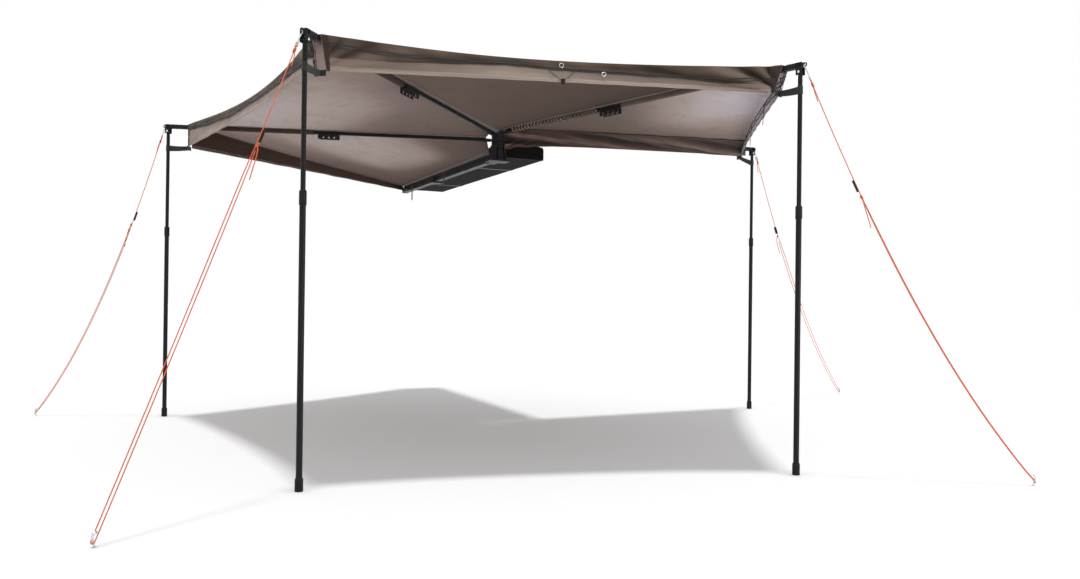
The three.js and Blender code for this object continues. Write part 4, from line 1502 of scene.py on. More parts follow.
@dataclass
class CanopyPanel:
    """One canvas panel and the valance that hangs from its outer edge."""

    name: str
    first: Arm | None
    last: Arm
    bow: float
    sag: float
    drops: tuple[float, float, float]
    ripple: float
    seed: float
    flap_shares: tuple[float, ...] = ()
    zip_shares: tuple[float, ...] = ()
    end_folds: tuple[float, float] = (0.0, 0.0)
    tie_shares: tuple[tuple[float, float, float], ...] = ()
    ring_shares: tuple[tuple[float, float], ...] = ()
    inside_cords: bool = False
    # Painted light and shade: glow at the first and last seam's inner and outer ends, a painted pool of
    # light, painted shade along the valance's outside, and the glow of the valance's inside.
    glow: tuple[float, float, float, float] = (0.4, 0.4, 0.55, 0.55)
    painted_light_pool: tuple[float, float, float, float, float] = (0.5, 0.5, 0.4, 0.3, 0.0)
    day: tuple[float, ...] = (1.0, 1.0)
    hang_glow: float = 0.5
    hem_finish: Finish = Finish.HEM
    gussets: tuple[float, float] = (0.0, 0.0)
    rows: int = 56
    columns: int = 120
    falls: int = 30
    thickness: float = 0.0011
    ripples: int = 7
    tape_width: float = 0.028

    def __post_init__(self) -> None:
        """Works out the panel's shoulders and its inward direction."""
        self.beside = (0.025 if self.first is None else 0.018, 0.018)
        self.ends = (edge_line(self.first, 1, self.beside[0]), edge_line(self.last, -1, self.beside[1]))
        inward = self.ends[0][1] + self.ends[1][1]
        inward[2] = 0
        self.inward = -inward / norm(inward)
        self.down = np.array((0.0, 0.0, -1.0))
        self.shares = crowded(self.columns + 1)

    def relief(self, share: float, out: float) -> float:
        """Gives the height of the canvas's soft pulls and wrinkles.

        Args:
            share: the way across, from the first seam to the last.
            out: the way out from the hub.

        Returns:
            The height in metres.
        """
        width = 2.1 * out
        length = 1.8
        height = 0.0
        for k, (corner, distance) in enumerate((("first", share), ("last", 1 - share))):
            reach = math.hypot(distance * width, (1 - out) * length)
            angle = math.atan2((1 - out) * length, max(distance * width, 1e-6))
            fall = math.exp(-reach / 0.34) * reach / (reach + 0.06)
            height += 0.0062 * fall * math.sin(13 * angle + self.seed + 1.7 * k)
        near = min(share, 1 - share) * width
        height += 0.0022 * math.exp(-near / 0.11) * math.sin(TAU * 6.3 * out + self.seed)
        height += 0.003 * math.exp(-out / 0.16) * math.sin(TAU * 7 * share + self.seed)
        height += 0.0016 * math.sin(TAU * 1.4 * share + 5 * out + self.seed) * out
        edge = min(1.0, near / 0.06)
        return height * edge * edge * (3 - 2 * edge)

    def top(self, out: float) -> np.ndarray:
        """Lays one row of the canvas, from seam to seam.

        Args:
            out: the way out from the hub.

        Returns:
            The row's points, the two seams included.
        """
        row = [self.spot(float(share), out) for share in self.shares]
        seams = (edge_line(self.first, 1, 0.0005), edge_line(self.last, -1, 0.0005))
        outer = [start + (end - start) * out for start, end in seams]
        return np.array([outer[0], *row, outer[1]])

    def spot(self, share: float, out: float) -> np.ndarray:
        """Places a point of the canvas between its two shoulders.

        Args:
            share: the way across.
            out: the way out from the hub.

        Returns:
            The point.
        """
        a, b = (start + (end - start) * out for start, end in self.ends)
        point = a + (b - a) * share + self.inward * (self.bow * arch(share) * out * out)
        return point + self.down * (self.sag * arch(share) * out - self.relief(share, out))

    def tape(self, last: bool, over: bool) -> Piece:
        """Makes the stitched tape beside an arm, under or over the canvas.

        Args:
            last: True along the last arm and False along the first.
            over: True on top of the canvas.

        Returns:
            The tape.
        """
        arm, side = (self.last, -1) if last else (self.first, 1)
        clear = 0.0008 if over else 0.0125 if arm else 0.0224
        lift = self.down * (-0.0013 if over else 0.0013)
        inner = edge_line(arm, side, clear)
        outs = np.linspace(0.0, 0.997, 2 * self.rows + 1)
        grid = [[inner[0] + (inner[1] - inner[0]) * out + lift for out in outs]]
        for step in range(4):
            line = []
            for out in outs:
                a, b = (start + (end - start) * out for start, end in self.ends)
                share = min(0.45, (0.001 + self.tape_width * step / 3) / length_of(b - a))
                line.append(self.spot(1 - share if last else share, float(out)) + lift)
            grid.append(line)
        name = f"{self.name}_tape_{'last' if last else 'first'}_{'over' if over else 'under'}"
        finish = Finish.HEM if over else Finish.TAPE
        return finish.dress(Weaver.cloth(name, np.array(grid), 0.0008, flip=last), finish)

    def hem(self, share: float) -> np.ndarray:
        """Places a point of the valance's lower edge."""
        first, last = (
            end - unit(end - start) * (arm.hem_back if arm else 0.0)
            for (start, end), arm in zip(self.ends, (self.first, self.last))
        )
        away = unit(self.ends[1][1] - self.ends[0][1])
        left, middle, right = self.drops
        drop = left + (right - left) * share + (middle - (left + right) / 2) * arch(share)
        point = first + (last - first) * share + self.inward * (self.bow * 0.5 * arch(share))
        return point + away * (0.006 * (1 - 2 * share)) + self.down * (drop + self.sag * arch(share))

    def valance(self, share: float, fall: float, stand_off: float = 0.0) -> np.ndarray:
        """Places a point of the valance.

        Args:
            share: the way across.
            fall: the way down from the canvas edge to the hem.
            stand_off: how far outside the valance.

        Returns:
            The point.
        """
        a, b = self.ends[0][1], self.ends[1][1]
        edge = a + (b - a) * share + self.inward * (self.bow * arch(share))
        edge = edge + self.down * (self.sag * arch(share) - self.relief(share, 1.0))
        point = edge + (self.hem(share) - edge) * fall
        wave = math.sin(TAU * self.ripples * share) * self.ripple * fall
        wave += 0.0022 * math.sin(TAU * 11 * share + self.seed + 2 * fall) * fall
        wave += 0.0016 * math.sin(TAU * 23 * share + 2 * self.seed) * math.sin(math.pi * fall)
        lip = 0.004 * math.sin(math.pi * min(1.0, fall * 4)) * (1 - fall)
        wave = wave * float(arch(share)) ** 0.5 + self.corner_folds(share, fall)
        return point + self.inward * (wave - lip - stand_off)

    def corner_folds(self, share: float, fall: float) -> float:
        """Gives the depth of the folds that fan out from the valance's corners.

        Args:
            share: the way across.
            fall: the way down.

        Returns:
            The depth in metres.
        """
        depth = 0.0
        width = length_of(self.ends[1][1] - self.ends[0][1])
        hang = math.sin(math.pi * min(fall, 1.0)) ** 0.5
        for amount, distance, drop in zip(self.end_folds, (share, 1 - share), self.drops[::2]):
            run = distance * width
            angle = math.atan2(drop * (1 - fall) + 0.004, run + 0.05)
            reach = run / (run + 0.05) * math.exp(-run / 0.42)
            depth += amount * reach * pleat(20 * angle + self.seed) * hang
        return depth

    def pinned(self, share: float, fall: float, stand_off: float) -> Matrix:
        """Finds the place of a small fitting on the valance.

        Args:
            share: the way across.
            fall: the way down.
            stand_off: how far outside the valance.

        Returns:
            A frame with X along the valance, Y down it and Z out of it.
        """
        near = ((share, fall), (share + 0.004, fall), (share, fall + 0.05))
        at, beside, below = (Vector(self.valance(*place, stand_off)) for place in near)
        along = (beside - at).normalized()
        down = below - at
        down = (down - along * down.dot(along)).normalized()
        out = along.cross(down)
        if out.dot(Vector(self.inward)) > 0:
            along, out = -along, -out
        return framed((along, down, out), at)

    def zip_line(self, first: float, last: float, stand_off: float, drift: float) -> np.ndarray:
        """Draws the zip's slack line along the valance.

        Args:
            first: the share where it begins.
            last: the share where it ends.
            stand_off: how far outside the valance.
            drift: how much lower than the zip's own line.

        Returns:
            The points of the line.
        """
        line = []
        for share in crowded(220, first, last):
            fall = eased(self.zip_shares, float(share)) + drift
            fall += 0.018 * math.sin(TAU * 5.3 * share + self.seed)
            fall += 0.01 * math.sin(TAU * 13.7 * share + drift * 40)
            line.append(self.valance(float(share), min(max(fall, 0.01), 0.97), stand_off))
        return np.array(line)

    def turned_in(self, obj: Piece, ride_within: float = 0.0) -> None:
        """Lets a finished piece fold like a fan between its two arms.

        Args:
            obj: the piece, which gets the share of the fold of each of its points.
            ride_within: what lies nearer than this to the last arm moves with it.
        """
        low = 0.0 if self.first is None else self.first.angle
        high = self.last.angle
        a = "mount_frame" if self.first is None else self.first.body
        start, end = self.ends[0][1], self.ends[1][1]
        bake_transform(obj, a, self.last.body, start=tuple(start), end=tuple(end))
        weights = obj.data.attributes["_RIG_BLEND"]
        middle = (low + high) / 2
        places = np.empty(len(obj.data.vertices) * 3)
        obj.data.vertices.foreach_get("co", places)
        places = places.reshape(-1, 3)
        angles = np.degrees(np.arctan2(-places[:, 0], places[:, 1]))
        angles = (angles - middle + 180) % 360 - 180 + middle
        margin = np.degrees(ride_within / np.maximum(np.hypot(places[:, 0], places[:, 1]), 0.05))
        shares = np.clip((angles - low) / np.maximum(high - low - margin, 1.0), 0, 1)
        weights.data.foreach_set("value", shares.astype(np.float32))

    def canvas(self) -> Piece:
        """Builds the canvas and its valance as one continuous sheet.

        Returns:
            The sheet.
        """
        outs = np.linspace(0, 1, self.rows + 1)
        top = np.array([self.top(float(out)) for out in outs])
        rows, columns = top.shape[:2]
        falls = np.linspace(0, 1, self.falls + 1)[1:]
        hang = np.array([[self.valance(float(s), float(f)) for s in self.shares] for f in falls])
        chart = Weaver.grid_chart(top)
        rim = chart[-1, 1:-1]
        drops = np.diff(np.concatenate([top[-1:, 1:-1], hang]), axis=0)
        drops = np.cumsum(norm(drops, axis=2), axis=0)
        under = np.stack([np.broadcast_to(rim[:, 0], drops.shape), rim[:, 1] + drops], axis=2)
        count, wide = rows * columns, columns - 2
        faces = Weaver.grid_faces(rows, columns)
        for j in range(wide - 1):
            a = (rows - 1) * columns + 1 + j
            faces.append((a, count + j, count + j + 1, a + 1))
        faces += Weaver.grid_faces(len(falls), wide, count)
        chart = np.concatenate([chart.reshape(-1, 2), under.reshape(-1, 2)])
        self.flat = tuple(float(size) for size in np.ptp(chart, axis=0))
        points = np.concatenate([top.reshape(-1, 3), hang.reshape(-1, 3)])
        obj = Weaver.mesh(f"{self.name}_cloth", points, faces, chart)
        # Painted light and shade on the lining: a blend between the four corner values and a painted pool of
        # light; the valance's inside gets one value.
        over = np.array([0.0, *self.shares, 1.0])
        first_in, last_in, first_out, last_out = self.glow
        inner, outer = first_in + (last_in - first_in) * over, first_out + (last_out - first_out) * over
        glow = inner + (outer - inner) * outs[:, None] ** 1.8
        share, out, width, length, amount = self.painted_light_pool
        glow += amount * np.exp(-(((over - share) / width) ** 4) - ((outs[:, None] - out) / length) ** 4)
        Weaver.lit(obj, np.concatenate([glow.ravel(), np.full(len(points) - count, self.hang_glow)]))
        # Painted shade along the valance's outside, from the panel's list of heights; the canvas top gets
        # full light.
        shade = np.tile([eased(self.day, float(s)) for s in self.shares], len(falls))
        Weaver.lit(obj, np.concatenate([np.ones(count), shade]), "day")
        self.area = sum(face.area for face in obj.data.polygons)
        return Weaver.thickened(Finish.CANVAS.dress(obj, Finish.LINING), self.thickness)

    def strip(
        self, name: str, low: float, high: float | Sequence[float], stand_off: float, thickness: float,
        rows: int = 3,
    ) -> Piece:
        """Makes a strip that follows the valance.

        Args:
            name: its name.
            low: the fall at its upper edge.
            high: the fall at its lower edge, or its falls evenly along the valance.
            stand_off: how far outside the valance.
            thickness: its thickness.
            rows: its rows of points.

        Returns:
            The strip.
        """
        shares = [float(s) for s in crowded(2 * self.columns + 1, 0.004, 0.996)]
        edge = [high if isinstance(high, float) else eased(high, s) for s in shares]
        places = [
            [(s, low + (e - low) * k / (rows - 1)) for s, e in zip(shares, edge)] for k in range(rows)
        ]
        grid = np.array([[self.valance(*place, stand_off) for place in row] for row in places])
        # Painted shade in the valance strip's fold valleys.
        glow = np.array([[self.fold_glow(*place) for place in row] for row in places])
        return Weaver.cloth(name, grid, thickness, glow=glow)

    def fold_glow(self, share: float, fall: float) -> float:
        """Gives the zip flap's painted light among its folds: painted shade in their valleys, a random
        wander, and darker towards the last end.
        """
        wander = 0.12 * math.sin(TAU * (3.1 * share + 0.7 * fall) + self.seed)
        wander += 0.08 * math.sin(TAU * (9.7 * share - 1.3 * fall) + 2 * self.seed)
        return 0.42 + wander - self.corner_folds(share, fall) / 0.02 - 0.12 * eased((0, 0, 0, 1), share)

    def corner_binding(self, last: bool) -> Piece:
        """Makes the webbing that binds one end of the valance, inside and out.

        Args:
            last: True at the last arm and False at the first.

        Returns:
            The binding.
        """
        width = length_of(self.ends[1][1] - self.ends[0][1])
        shells = []
        for stand_off in (0.0052, -0.0032):
            grid = []
            for fall in np.linspace(0.0, 1.0, 17):
                reach = 0.011 + self.gussets[last] * (1 - fall) * (stand_off > 0)
                shares = [0.002 + reach * k / 5 / width for k in range(6)]
                grid.append([self.valance(1 - s if last else s, float(fall), stand_off) for s in shares])
            shells.append(Weaver.cloth("binding", np.array(grid), 0.0016, flip=last))
        binding = Bench.joined(f"{self.name}_binding_{'last' if last else 'first'}", shells)
        return Finish.DARK_SLEEVE.dress(binding, Finish.DARK_SLEEVE)

    def ties(self) -> list[Piece]:
        """Makes the drawn-up cords with their toggles and the rings on the valance.

        Returns:
            The pieces.
        """
        made = []
        for k, (left, middle, right) in enumerate(self.tie_shares):
            ends = [self.valance(s, eased(self.zip_shares, s), 0.008) for s in (left, right)]
            low = self.valance(middle, 0.93, 0.009)
            bent = [end + (low - end) * 0.5 + self.down * 0.006 for end in ends]
            line = Weaver.smooth_route([ends[0], bent[0], low, bent[1], ends[1]], 0.004)
            made.append(Finish.SHOCK_CORD.dress(Weaver.cord(f"{self.name}_tie_{k}", line, 0.0014)))
            toggle = Bench.block("toggle", (-0.0085, -0.006, -0.005), (0.0085, 0.014, 0.005), 0.0025)
            button = Bench.turned("button", ((0.0042, 0.012), (0.0042, 0.0185), (0.0032, 0.0195)), 20)
            Bench.settled(button, Matrix.Rotation(-TAU / 4, 4, "X"))
            toggle = Bench.joined(f"{self.name}_toggle_{k}", [toggle, button])
            made.append(Finish.SMOOTH_PLASTIC.dress(Bench.settled(toggle, self.pinned(middle, 0.93, 0.01))))
        for k, (share, fall) in enumerate(self.ring_shares):
            ring = Bench.ring(f"{self.name}_ring_{k}", 0.009, 0.0016, 28)
            made.append(Finish.ZINC.dress(Bench.settled(ring, self.pinned(share, fall, 0.009))))
        laces = ((0.22, 0.0), (0.5, 0.02), (0.68, -0.03), (0.83, 0.01)) if self.inside_cords else ()
        for k, (share, drift) in enumerate(laces):
            high = self.valance(share, 0.35, -0.006)
            low = self.valance(share + drift, 0.98, -0.007)
            tail = low + self.down * (0.05 + 0.5 * abs(drift)) + self.inward * 0.004
            bent = low + (high - low) * 0.4 + self.inward * 0.003
            line = Weaver.smooth_route([high, bent, low, tail], 0.004)
            made.append(Finish.SHOCK_CORD.dress(Weaver.cord(f"{self.name}_lace_{k}", line, 0.0016)))
        return made

    def edging(self, name: str, line: np.ndarray, radius: float) -> Piece:
        """Makes a round cord of the binding's cloth along the valance."""
        return Finish.BINDING.dress(Weaver.cord(f"{self.name}_{name}", line, radius))

    def build(self) -> None:
        sheet = self.canvas()
        hem = self.strip(f"{self.name}_hem", 0.84, 1.0, 0.0, 0.0036)
        trims = [self.hem_finish.dress(hem, self.hem_finish)]
        trims += [self.tape(last, over) for last in (False, True) for over in (False, True)]
        line = np.array([self.valance(float(s), 0.012, 0.002) for s in np.linspace(0.004, 0.996, 160)])
        trims.append(self.edging("piping", line, 0.0024))
        if self.flap_shares:
            flap = self.strip(f"{self.name}_zip_flap", 0.0, self.flap_shares, 0.0035, 0.0012, 24)
            trims.append(Finish.FLAP.dress(flap, Finish.FLAP))
            for k, (drift, radius) in enumerate(((0.0, 0.0034), (0.09, 0.0022))):
                trims.append(self.edging(f"zip_{k}", self.zip_line(0.012, 0.988, 0.0062, drift), radius))
            trims += [self.corner_binding(False), self.corner_binding(True)]
        if self.inside_cords:
            for k, drift in enumerate((0.0, 0.3)):
                trims.append(self.edging(f"inner_zip_{k}", self.zip_line(0.02, 0.98, -0.005, drift), 0.003))
        trims += self.ties()
        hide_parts(self.name)
        for piece in (sheet, *trims):
            self.turned_in(piece)
        width, length = self.flat
        LOG.info("%s: %.2f by %.2f m, %.2f square metres", self.name, width, length, self.area)


PANELS = (
    CanopyPanel(
        "canopy_panel_front", None, ARMS[0], 0.06, 0.02, (0.032, 0.068, 0.138), 0.005, 0.4,
        glow=(0.2, 0.25, 0.05, 0.5), painted_light_pool=(0.68, 0.53, 0.44, 0.25, 0.48), hang_glow=0.0,
        hem_finish=Finish.TAPE,
    ),
    CanopyPanel(
        "canopy_panel_ab", ARMS[0], ARMS[1], 0.085, 0.018, (0.133, 0.095, 0.12), 0.0, 1.9,
        flap_shares=(0.3, 0.42, 0.52, 0.46, 0.5, 0.56, 0.6),
        zip_shares=(0.16, 0.3, 0.44, 0.36, 0.4, 0.42, 0.4),
        end_folds=(0.006, 0.016), glow=(0.22, 0.27, 0.6, 0.5), painted_light_pool=(0.27, 0.78, 0.47, 0.27, 0.36),
        gussets=(0.0, 0.02),
    ),
    CanopyPanel(
        "canopy_panel_bc", ARMS[1], ARMS[2], 0.105, 0.018, (0.136, 0.094, 0.12), 0.0, 3.1,
        flap_shares=(0.62, 0.6, 0.5, 0.36, 0.46, 0.5, 0.56, 0.66, 0.7),
        zip_shares=(0.26, 0.3, 0.31, 0.28, 0.34, 0.42, 0.44, 0.5, 0.5),
        end_folds=(0.01, 0.03), tie_shares=((0.47, 0.507, 0.54),), ring_shares=((0.6, 0.55), (0.505, 0.22)),
        glow=(0.2, 0.05, 0.3, 0.0), day=(0.25, 0.2, 0.45, 1.0, 0.8, 0.45, 0.25, 0.2, 0.25),
        gussets=(0.015, 0.05),
    ),
    CanopyPanel(
        "canopy_panel_cd", ARMS[2], ARMS[3], 0.04, 0.018, (0.118, 0.09, 0.066), 0.0, 4.6,
        flap_shares=(0.6, 0.5, 0.42, 0.5, 0.6), zip_shares=(0.3, 0.34, 0.3, 0.36, 0.34),
        end_folds=(0.012, 0.008), inside_cords=True, glow=(0.2, 0.18, 0.5, 0.4),
        painted_light_pool=(0.15, 1.0, 0.45, 0.37, 0.55), hang_glow=1.0, gussets=(0.02, 0.0),
    ),
)


@dataclass
class SideFlap:
    """The folded wall cloth tied up along the last arm's inner side."""

    panel: CanopyPanel
    arm: Arm
    start: float = 0.026
    beside: float = 0.03
    inset: float = 0.3
    hem: float = 0.066
    rise: float = 0.028
    gather: float = 0.036
    columns: int = 260
    rows: int = 40

    def folds(self, share: float, fall: float) -> float:
        """Gives the depth of the long slanting folds and the crumpled end by the hub.

        Args:
            share: the way along the arm.
            fall: the way from the canvas to the hem.

        Returns:
            The depth in metres.
        """
        hang = math.sin(math.pi * min(1.0, fall * 1.06)) ** 0.7
        slant = pleat(TAU * (1.9 * share - 1.15 * fall) + 0.6)
        second = pleat(TAU * (4.4 * share - 1.9 * fall) + 2.1)
        third = math.sin(TAU * (9.5 * share - 1.2 * fall) + 0.4)
        crumple = math.sin(TAU * (17 * share + 1.3 * fall) + 2 * math.sin(9 * fall))
        crumple *= math.exp(-share / 0.055)
        return hang * (0.016 * slant + 0.008 * second + 0.002 * third + 0.016 * crumple)

    def build(self) -> None:
        arm, panel = self.arm, self.panel
        end = arm.length - arm.corner - 0.004
        run = arm.at(0, 1, 0) - arm.at(0, 0, 0)
        grid, glow = [], []
        for fall in np.linspace(0, 1, self.rows + 1):
            line = []
            for share in np.linspace(0, 1, self.columns + 1):
                along = self.start + share * (end - self.start)
                out = min(1.0, max(0.0, (along - CANVAS_FROM) / (end + 0.004 - CANVAS_FROM)))
                a, b = (first + (last - first) * out for first, last in panel.ends)
                inset = (0.02 + self.inset * share) / max(0.03, length_of(b - a))
                high = panel.spot(1 - min(inset, 0.6), out) + panel.down * 0.004
                high = high + run * min(0.0, along - CANVAS_FROM)
                drop = self.hem + self.rise * (1 - share ** 1.2) + self.gather * (1 - share) ** 8
                drop += 0.008 * math.exp(-share / 0.06) * math.sin(TAU * 15 * share)
                low = arm.at(self.beside, along, CANVAS_OVER - drop)
                facing = np.cross(high - low, run)
                facing *= math.copysign(1 / max(1e-6, length_of(facing)), -float(facing[1]))
                point = high + (low - high) * (fall + 0.25 * fall * (1 - fall))
                fold = self.folds(float(share), float(fall))
                # Painted light and shade by fold depth: brighter where the folds stand out, darker in their
                # valleys.
                glow.append(0.42 + 0.62 * fold / 0.018)
                line.append(point + facing * fold)
            grid.append(line)
        cloth = np.array(grid)
        faces, chart = Weaver.grid_faces(*cloth.shape[:2]), Weaver.grid_chart(cloth).reshape(-1, 2)
        flap = Weaver.mesh("canopy_side_flap", cloth.reshape(-1, 3), faces, chart)
        Weaver.lit(flap, np.array(glow))
        Finish.SIDE_FLAP.dress(Weaver.thickened(flap, 0.0012))
        panel.turned_in(flap, self.beside + 0.012)
        width, length = np.ptp(chart, axis=0).tolist()
        LOG.info("canopy_side_flap: %.2f by %.2f m", width, length)


@dataclass
class ArmSleeve:
    """A cloth sleeve sewn under the canvas, through which an arm's tube runs."""

    arm: Arm
    name: str
    start: float
    end: float
    gather: float
    finish: Finish = Finish.SLEEVE
    pitch: float = 0.028
    half_width: float = 0.0142
    depth: float = 0.0118

    def build(self) -> None:
        """Builds the sleeve round the tube's sides and underside."""
        arm = self.arm
        grid = []
        for along in np.linspace(self.start, self.end, int((self.end - self.start) / 0.003)):
            drift = 0.9 * math.sin(TAU * along / 0.23) + 0.7 * math.sin(TAU * along / 0.091)
            rib = self.gather * math.sin(TAU * along / self.pitch + drift)
            rib += 0.5 * self.gather * math.sin(TAU * along / (0.37 * self.pitch) + 2 * drift)
            line = [arm.at(0.0185, along, 0.0118)]
            for step in range(13):
                turn = math.pi * (-0.06 + 1.12 * step / 12)
                swell = 1 + rib * (0.6 + 0.4 * math.sin(3 * turn + 40 * along))
                across = self.half_width * swell * math.cos(turn)
                line.append(arm.at(across, along, -self.depth * (0.6 + 0.4 * swell) * math.sin(turn)))
            line.append(arm.at(-0.0185, along, 0.0118))
            grid.append(line)
        sleeve = Weaver.cloth(f"arm_{arm.name}_sleeve_{self.name}", np.array(grid), 0.0008)
        fitted(self.finish.dress(sleeve, self.finish), arm.body, "canvas")


SLEEVES = (
    ArmSleeve(ARMS[0], "outer", 1.12, 1.72, 0.03, Finish.DARK_SLEEVE),
    ArmSleeve(ARMS[1], "outer", 1.21, 1.73, 0.03, Finish.DARK_SLEEVE),
    ArmSleeve(ARMS[2], "inner", 0.13, 0.81, 0.16, Finish.GATHERED),
    ArmSleeve(ARMS[2], "outer", 0.98, 1.76, 0.04),
)


@dataclass
class HangingSkirt:
    """The flap of cloth that hangs along the last arm."""

    arm: Arm
    drop: float = 0.058
    gather: float = 0.055
    side: float = 0.024
    columns: int = 150
    falls: int = 14

    def build(self) -> None:
        arm = self.arm
        start, end = CANVAS_FROM, arm.length - arm.corner
        rows = [(0.0025, 0.0), (-0.012, 0.0)]
        rows += [(-self.side, float(fall)) for fall in np.linspace(0, 1, self.falls)]
        grid, glow = [], []
        for across, fall in rows:
            line = []
            for share in np.linspace(0, 1, self.columns + 1):
                swing = 0.006 * math.sin(TAU * 6 * share) * fall
                swing += 0.004 * math.sin(TAU * (3.2 * share + 0.9 * fall)) * fall
                swing += 0.0018 * math.sin(TAU * (11 * share - 1.4 * fall) + 1) * fall
                drop = fall * (self.drop + self.gather * (1 - share) ** 8)
                turn_down = 0.0067 if across == -self.side else 0.0
                along = start + share * (end - start)
                line.append(arm.at(across - swing, along, CANVAS_OVER - turn_down - drop))
                # Painted light and shade by the folds' swing: lighter where they swing one way, darker the
                # other.
                glow.append(0.5 - 40 * swing)
            grid.append(line)
        cloth = np.array(grid)
        skirt = Weaver.cloth("canopy_skirt", cloth, 0.0011, glow=np.array(glow))
        fitted(Finish.SIDE_FLAP.dress(skirt), arm.body, "canvas")
        width, length = np.ptp(Weaver.grid_chart(cloth).reshape(-1, 2), axis=0).tolist()
        LOG.info("canopy_skirt: %.2f by %.2f m", width, length)


# Webbing


@dataclass
class CornerStrap:
    """The strap that holds a canvas corner's hem to its leg."""

    arm: Arm
    height: float = 0.034
    inner_height: float = 0.025
    thickness: float = 0.0018
    leg_radius: float = 0.0105
    short: float = 0.004
    climb: float = 0.0

    def build(self) -> None:
        """Builds the wrap, the strap and its sewn patch, and stands them in for the solid."""
        arm = self.arm
        low = -arm.strap_below - self.height / 2
        reach = arm.corner + arm.hem_back - self.short
        taper = (self.height - self.inner_height) / 2
        middle = self.leg_radius + self.thickness / 2
        turns = [(middle * math.sin(TAU * t / 32), middle * math.cos(TAU * t / 32)) for t in range(33)]
        wrap, band = [], []
        for k in range(5):
            wrap.append([(x, y, low + self.height * k / 4) for x, y in turns])
            row = []
            for s in np.linspace(0, 1, 25):
                height = self.height - 2 * taper * s
                bow = 0.0015 * math.sin(math.pi * s) * math.sin(math.pi * k / 4)
                climb = self.climb * s - 0.002 * float(arch(s))
                row.append((bow, -middle - (reach - middle) * s, low + taper * s + height * k / 4 + climb))
            band.append(row)
        hem = low + taper + self.climb
        patch = [
            [(x, -reach - 0.0008, hem + self.inner_height * k / 3) for x in np.linspace(-0.027, 0.027, 13)]
            for k in range(4)
        ]
        parts = [
            Weaver.cloth(name, np.array(grid), self.thickness)
            for name, grid in (("wrap", wrap), ("band", band), ("patch", patch))
        ]
        strap = Bench.settled(Bench.joined(f"corner_strap_web_{arm.name}", parts), arm.leg_place)
        fitted(Finish.WEBBING.dress(strap), arm.body, "webbing", f"corner_strap_{arm.name}")


@dataclass
class TravelBag:
    """The slumped bag along the rail that the awning folds into."""

    start: float = 0.052
    length: float = 1.93
    inner: float = 0.0213
    outer: float = 0.325
    floor: float = 0.036
    shoulder: float = 0.118
    crown: float = 0.135
    rows: int = 190
    around: int = 84
    section: tuple[tuple[float, float], ...] = (
        (0, 0.095), (0, 0.04), (0.012, 0.0368), (0.1, 0.036), (0.5, 0.0362), (0.9, 0.036), (0.985, 0.0368),
        (1, 0.042), (1, 0.1), (0.985, 0.114), (0.93, 0.121), (0.8, 0.129), (0.62, 0.134), (0.45, 0.132),
        (0.33, 0.13), (0.18, 0.128), (0.06, 0.121), (0.008, 0.109),
    )

    def ring(self, y: float) -> np.ndarray:
        """Draws the bag's section with its slumped, creased top.

        Args:
            y: the place along the rail.

        Returns:
            The section's points.
        """
        width = self.outer - self.inner
        floor = self.floor + 0.0005
        corners = [(self.inner + share * width, 0.0, max(z, floor)) for share, z in self.section]
        line = Weaver.smooth_route([*corners, corners[0]], 0.004)
        run = np.linspace(0, len(line) - 1, self.around + 1)[:-1]
        section = np.stack([np.interp(run, np.arange(len(line)), line[:, k]) for k in range(3)], axis=1)
        out = []
        for point in section:
            rise = max(0.0, (point[2] - 0.1) / 0.03)
            share = (point[0] - self.inner) / width
            fold = 0.009 * math.sin(TAU * (y * 4.6 + share * 1.3))
            fold += 0.006 * math.sin(TAU * (y * 9.1 - share * 2.1) + 1)
            fold += 0.003 * math.sin(TAU * (y * 21 + share * 4) + 2)
            sagged = point[2] + min(1.0, rise) * (0.55 * fold - 0.004)
            away = point - self.middle
            swell = 0.0015 * math.sin(TAU * (y * 5.3 + share)) * min(1.0, rise + 0.3)
            x = point[0] + away[0] / max(1e-6, length_of(away)) * swell
            x = min(max(x, self.inner + 0.0005), self.outer)
            out.append((x, y, min(max(sagged, floor), self.crown + 0.004)))
        return np.array(out)

    @property
    def middle(self) -> np.ndarray:
        """The middle of the bag's section."""
        return np.array((self.inner + (self.outer - self.inner) / 2, 0, 0.08))

    def pushed(self, ring: np.ndarray, by: float) -> np.ndarray:
        """Moves points of a section outwards by a distance."""
        away = ring - self.middle
        away[:, 1] = 0
        return ring + by * away / norm(away, axis=1)[:, None]

    def build(self) -> None:
        """Builds the bag's shell, its end panels and its zip."""
        ys = np.linspace(self.start, self.start + self.length, self.rows + 1)
        rings = [self.ring(float(y)) for y in ys]
        chart = [(run, float(y)) for ring, y in zip(rings, ys) for run in run_of(ring)]
        bag = Weaver.tube("travel_bag_cloth", np.concatenate(rings), chart, self.around)
        Bench.closed(Bench.opened(bag), 50)
        fitted(Finish.BAG.dress(bag), "mount_frame", "bag_cloth", "travel_bag")
        self.trims(rings)

    def trims(self, rings: list[np.ndarray]) -> None:
        """Makes the piping round both ends, the long zip and the two binding straps.

        Args:
            rings: the sections of the bag's shell.
        """
        lines = []
        for name, ring, out in (("rear", rings[0], -0.001), ("front", rings[-1], 0.001)):
            loop = np.concatenate([ring, ring[:2]]) + np.array((0, out, 0))
            lines.append((f"piping_{name}", self.pushed(loop, -0.0012), 0.0022))
        seam = round(0.53 * self.around)
        zipped = np.array([ring[seam] for ring in rings[1:-1]]) + np.array((0, 0, 0.0015))
        lines.append(("zip", zipped, 0.0032))
        for name, line, radius in lines:
            cord = Weaver.cord(f"travel_bag_{name}", line, radius)
            fitted(Finish.BINDING.dress(cord), "mount_frame", "bag_cloth")
        for name, share in (("rear", 0.24), ("front", 0.76)):
            row = round(share * self.rows)
            grid = np.array([self.pushed(ring, 0.0014)[3:-3] for ring in rings[row : row + 5]])
            band = Weaver.cloth(f"travel_bag_band_{name}", grid, 0.0014)
            fitted(Finish.WEBBING.dress(band), "mount_frame", "webbing")


# Carried-over solids


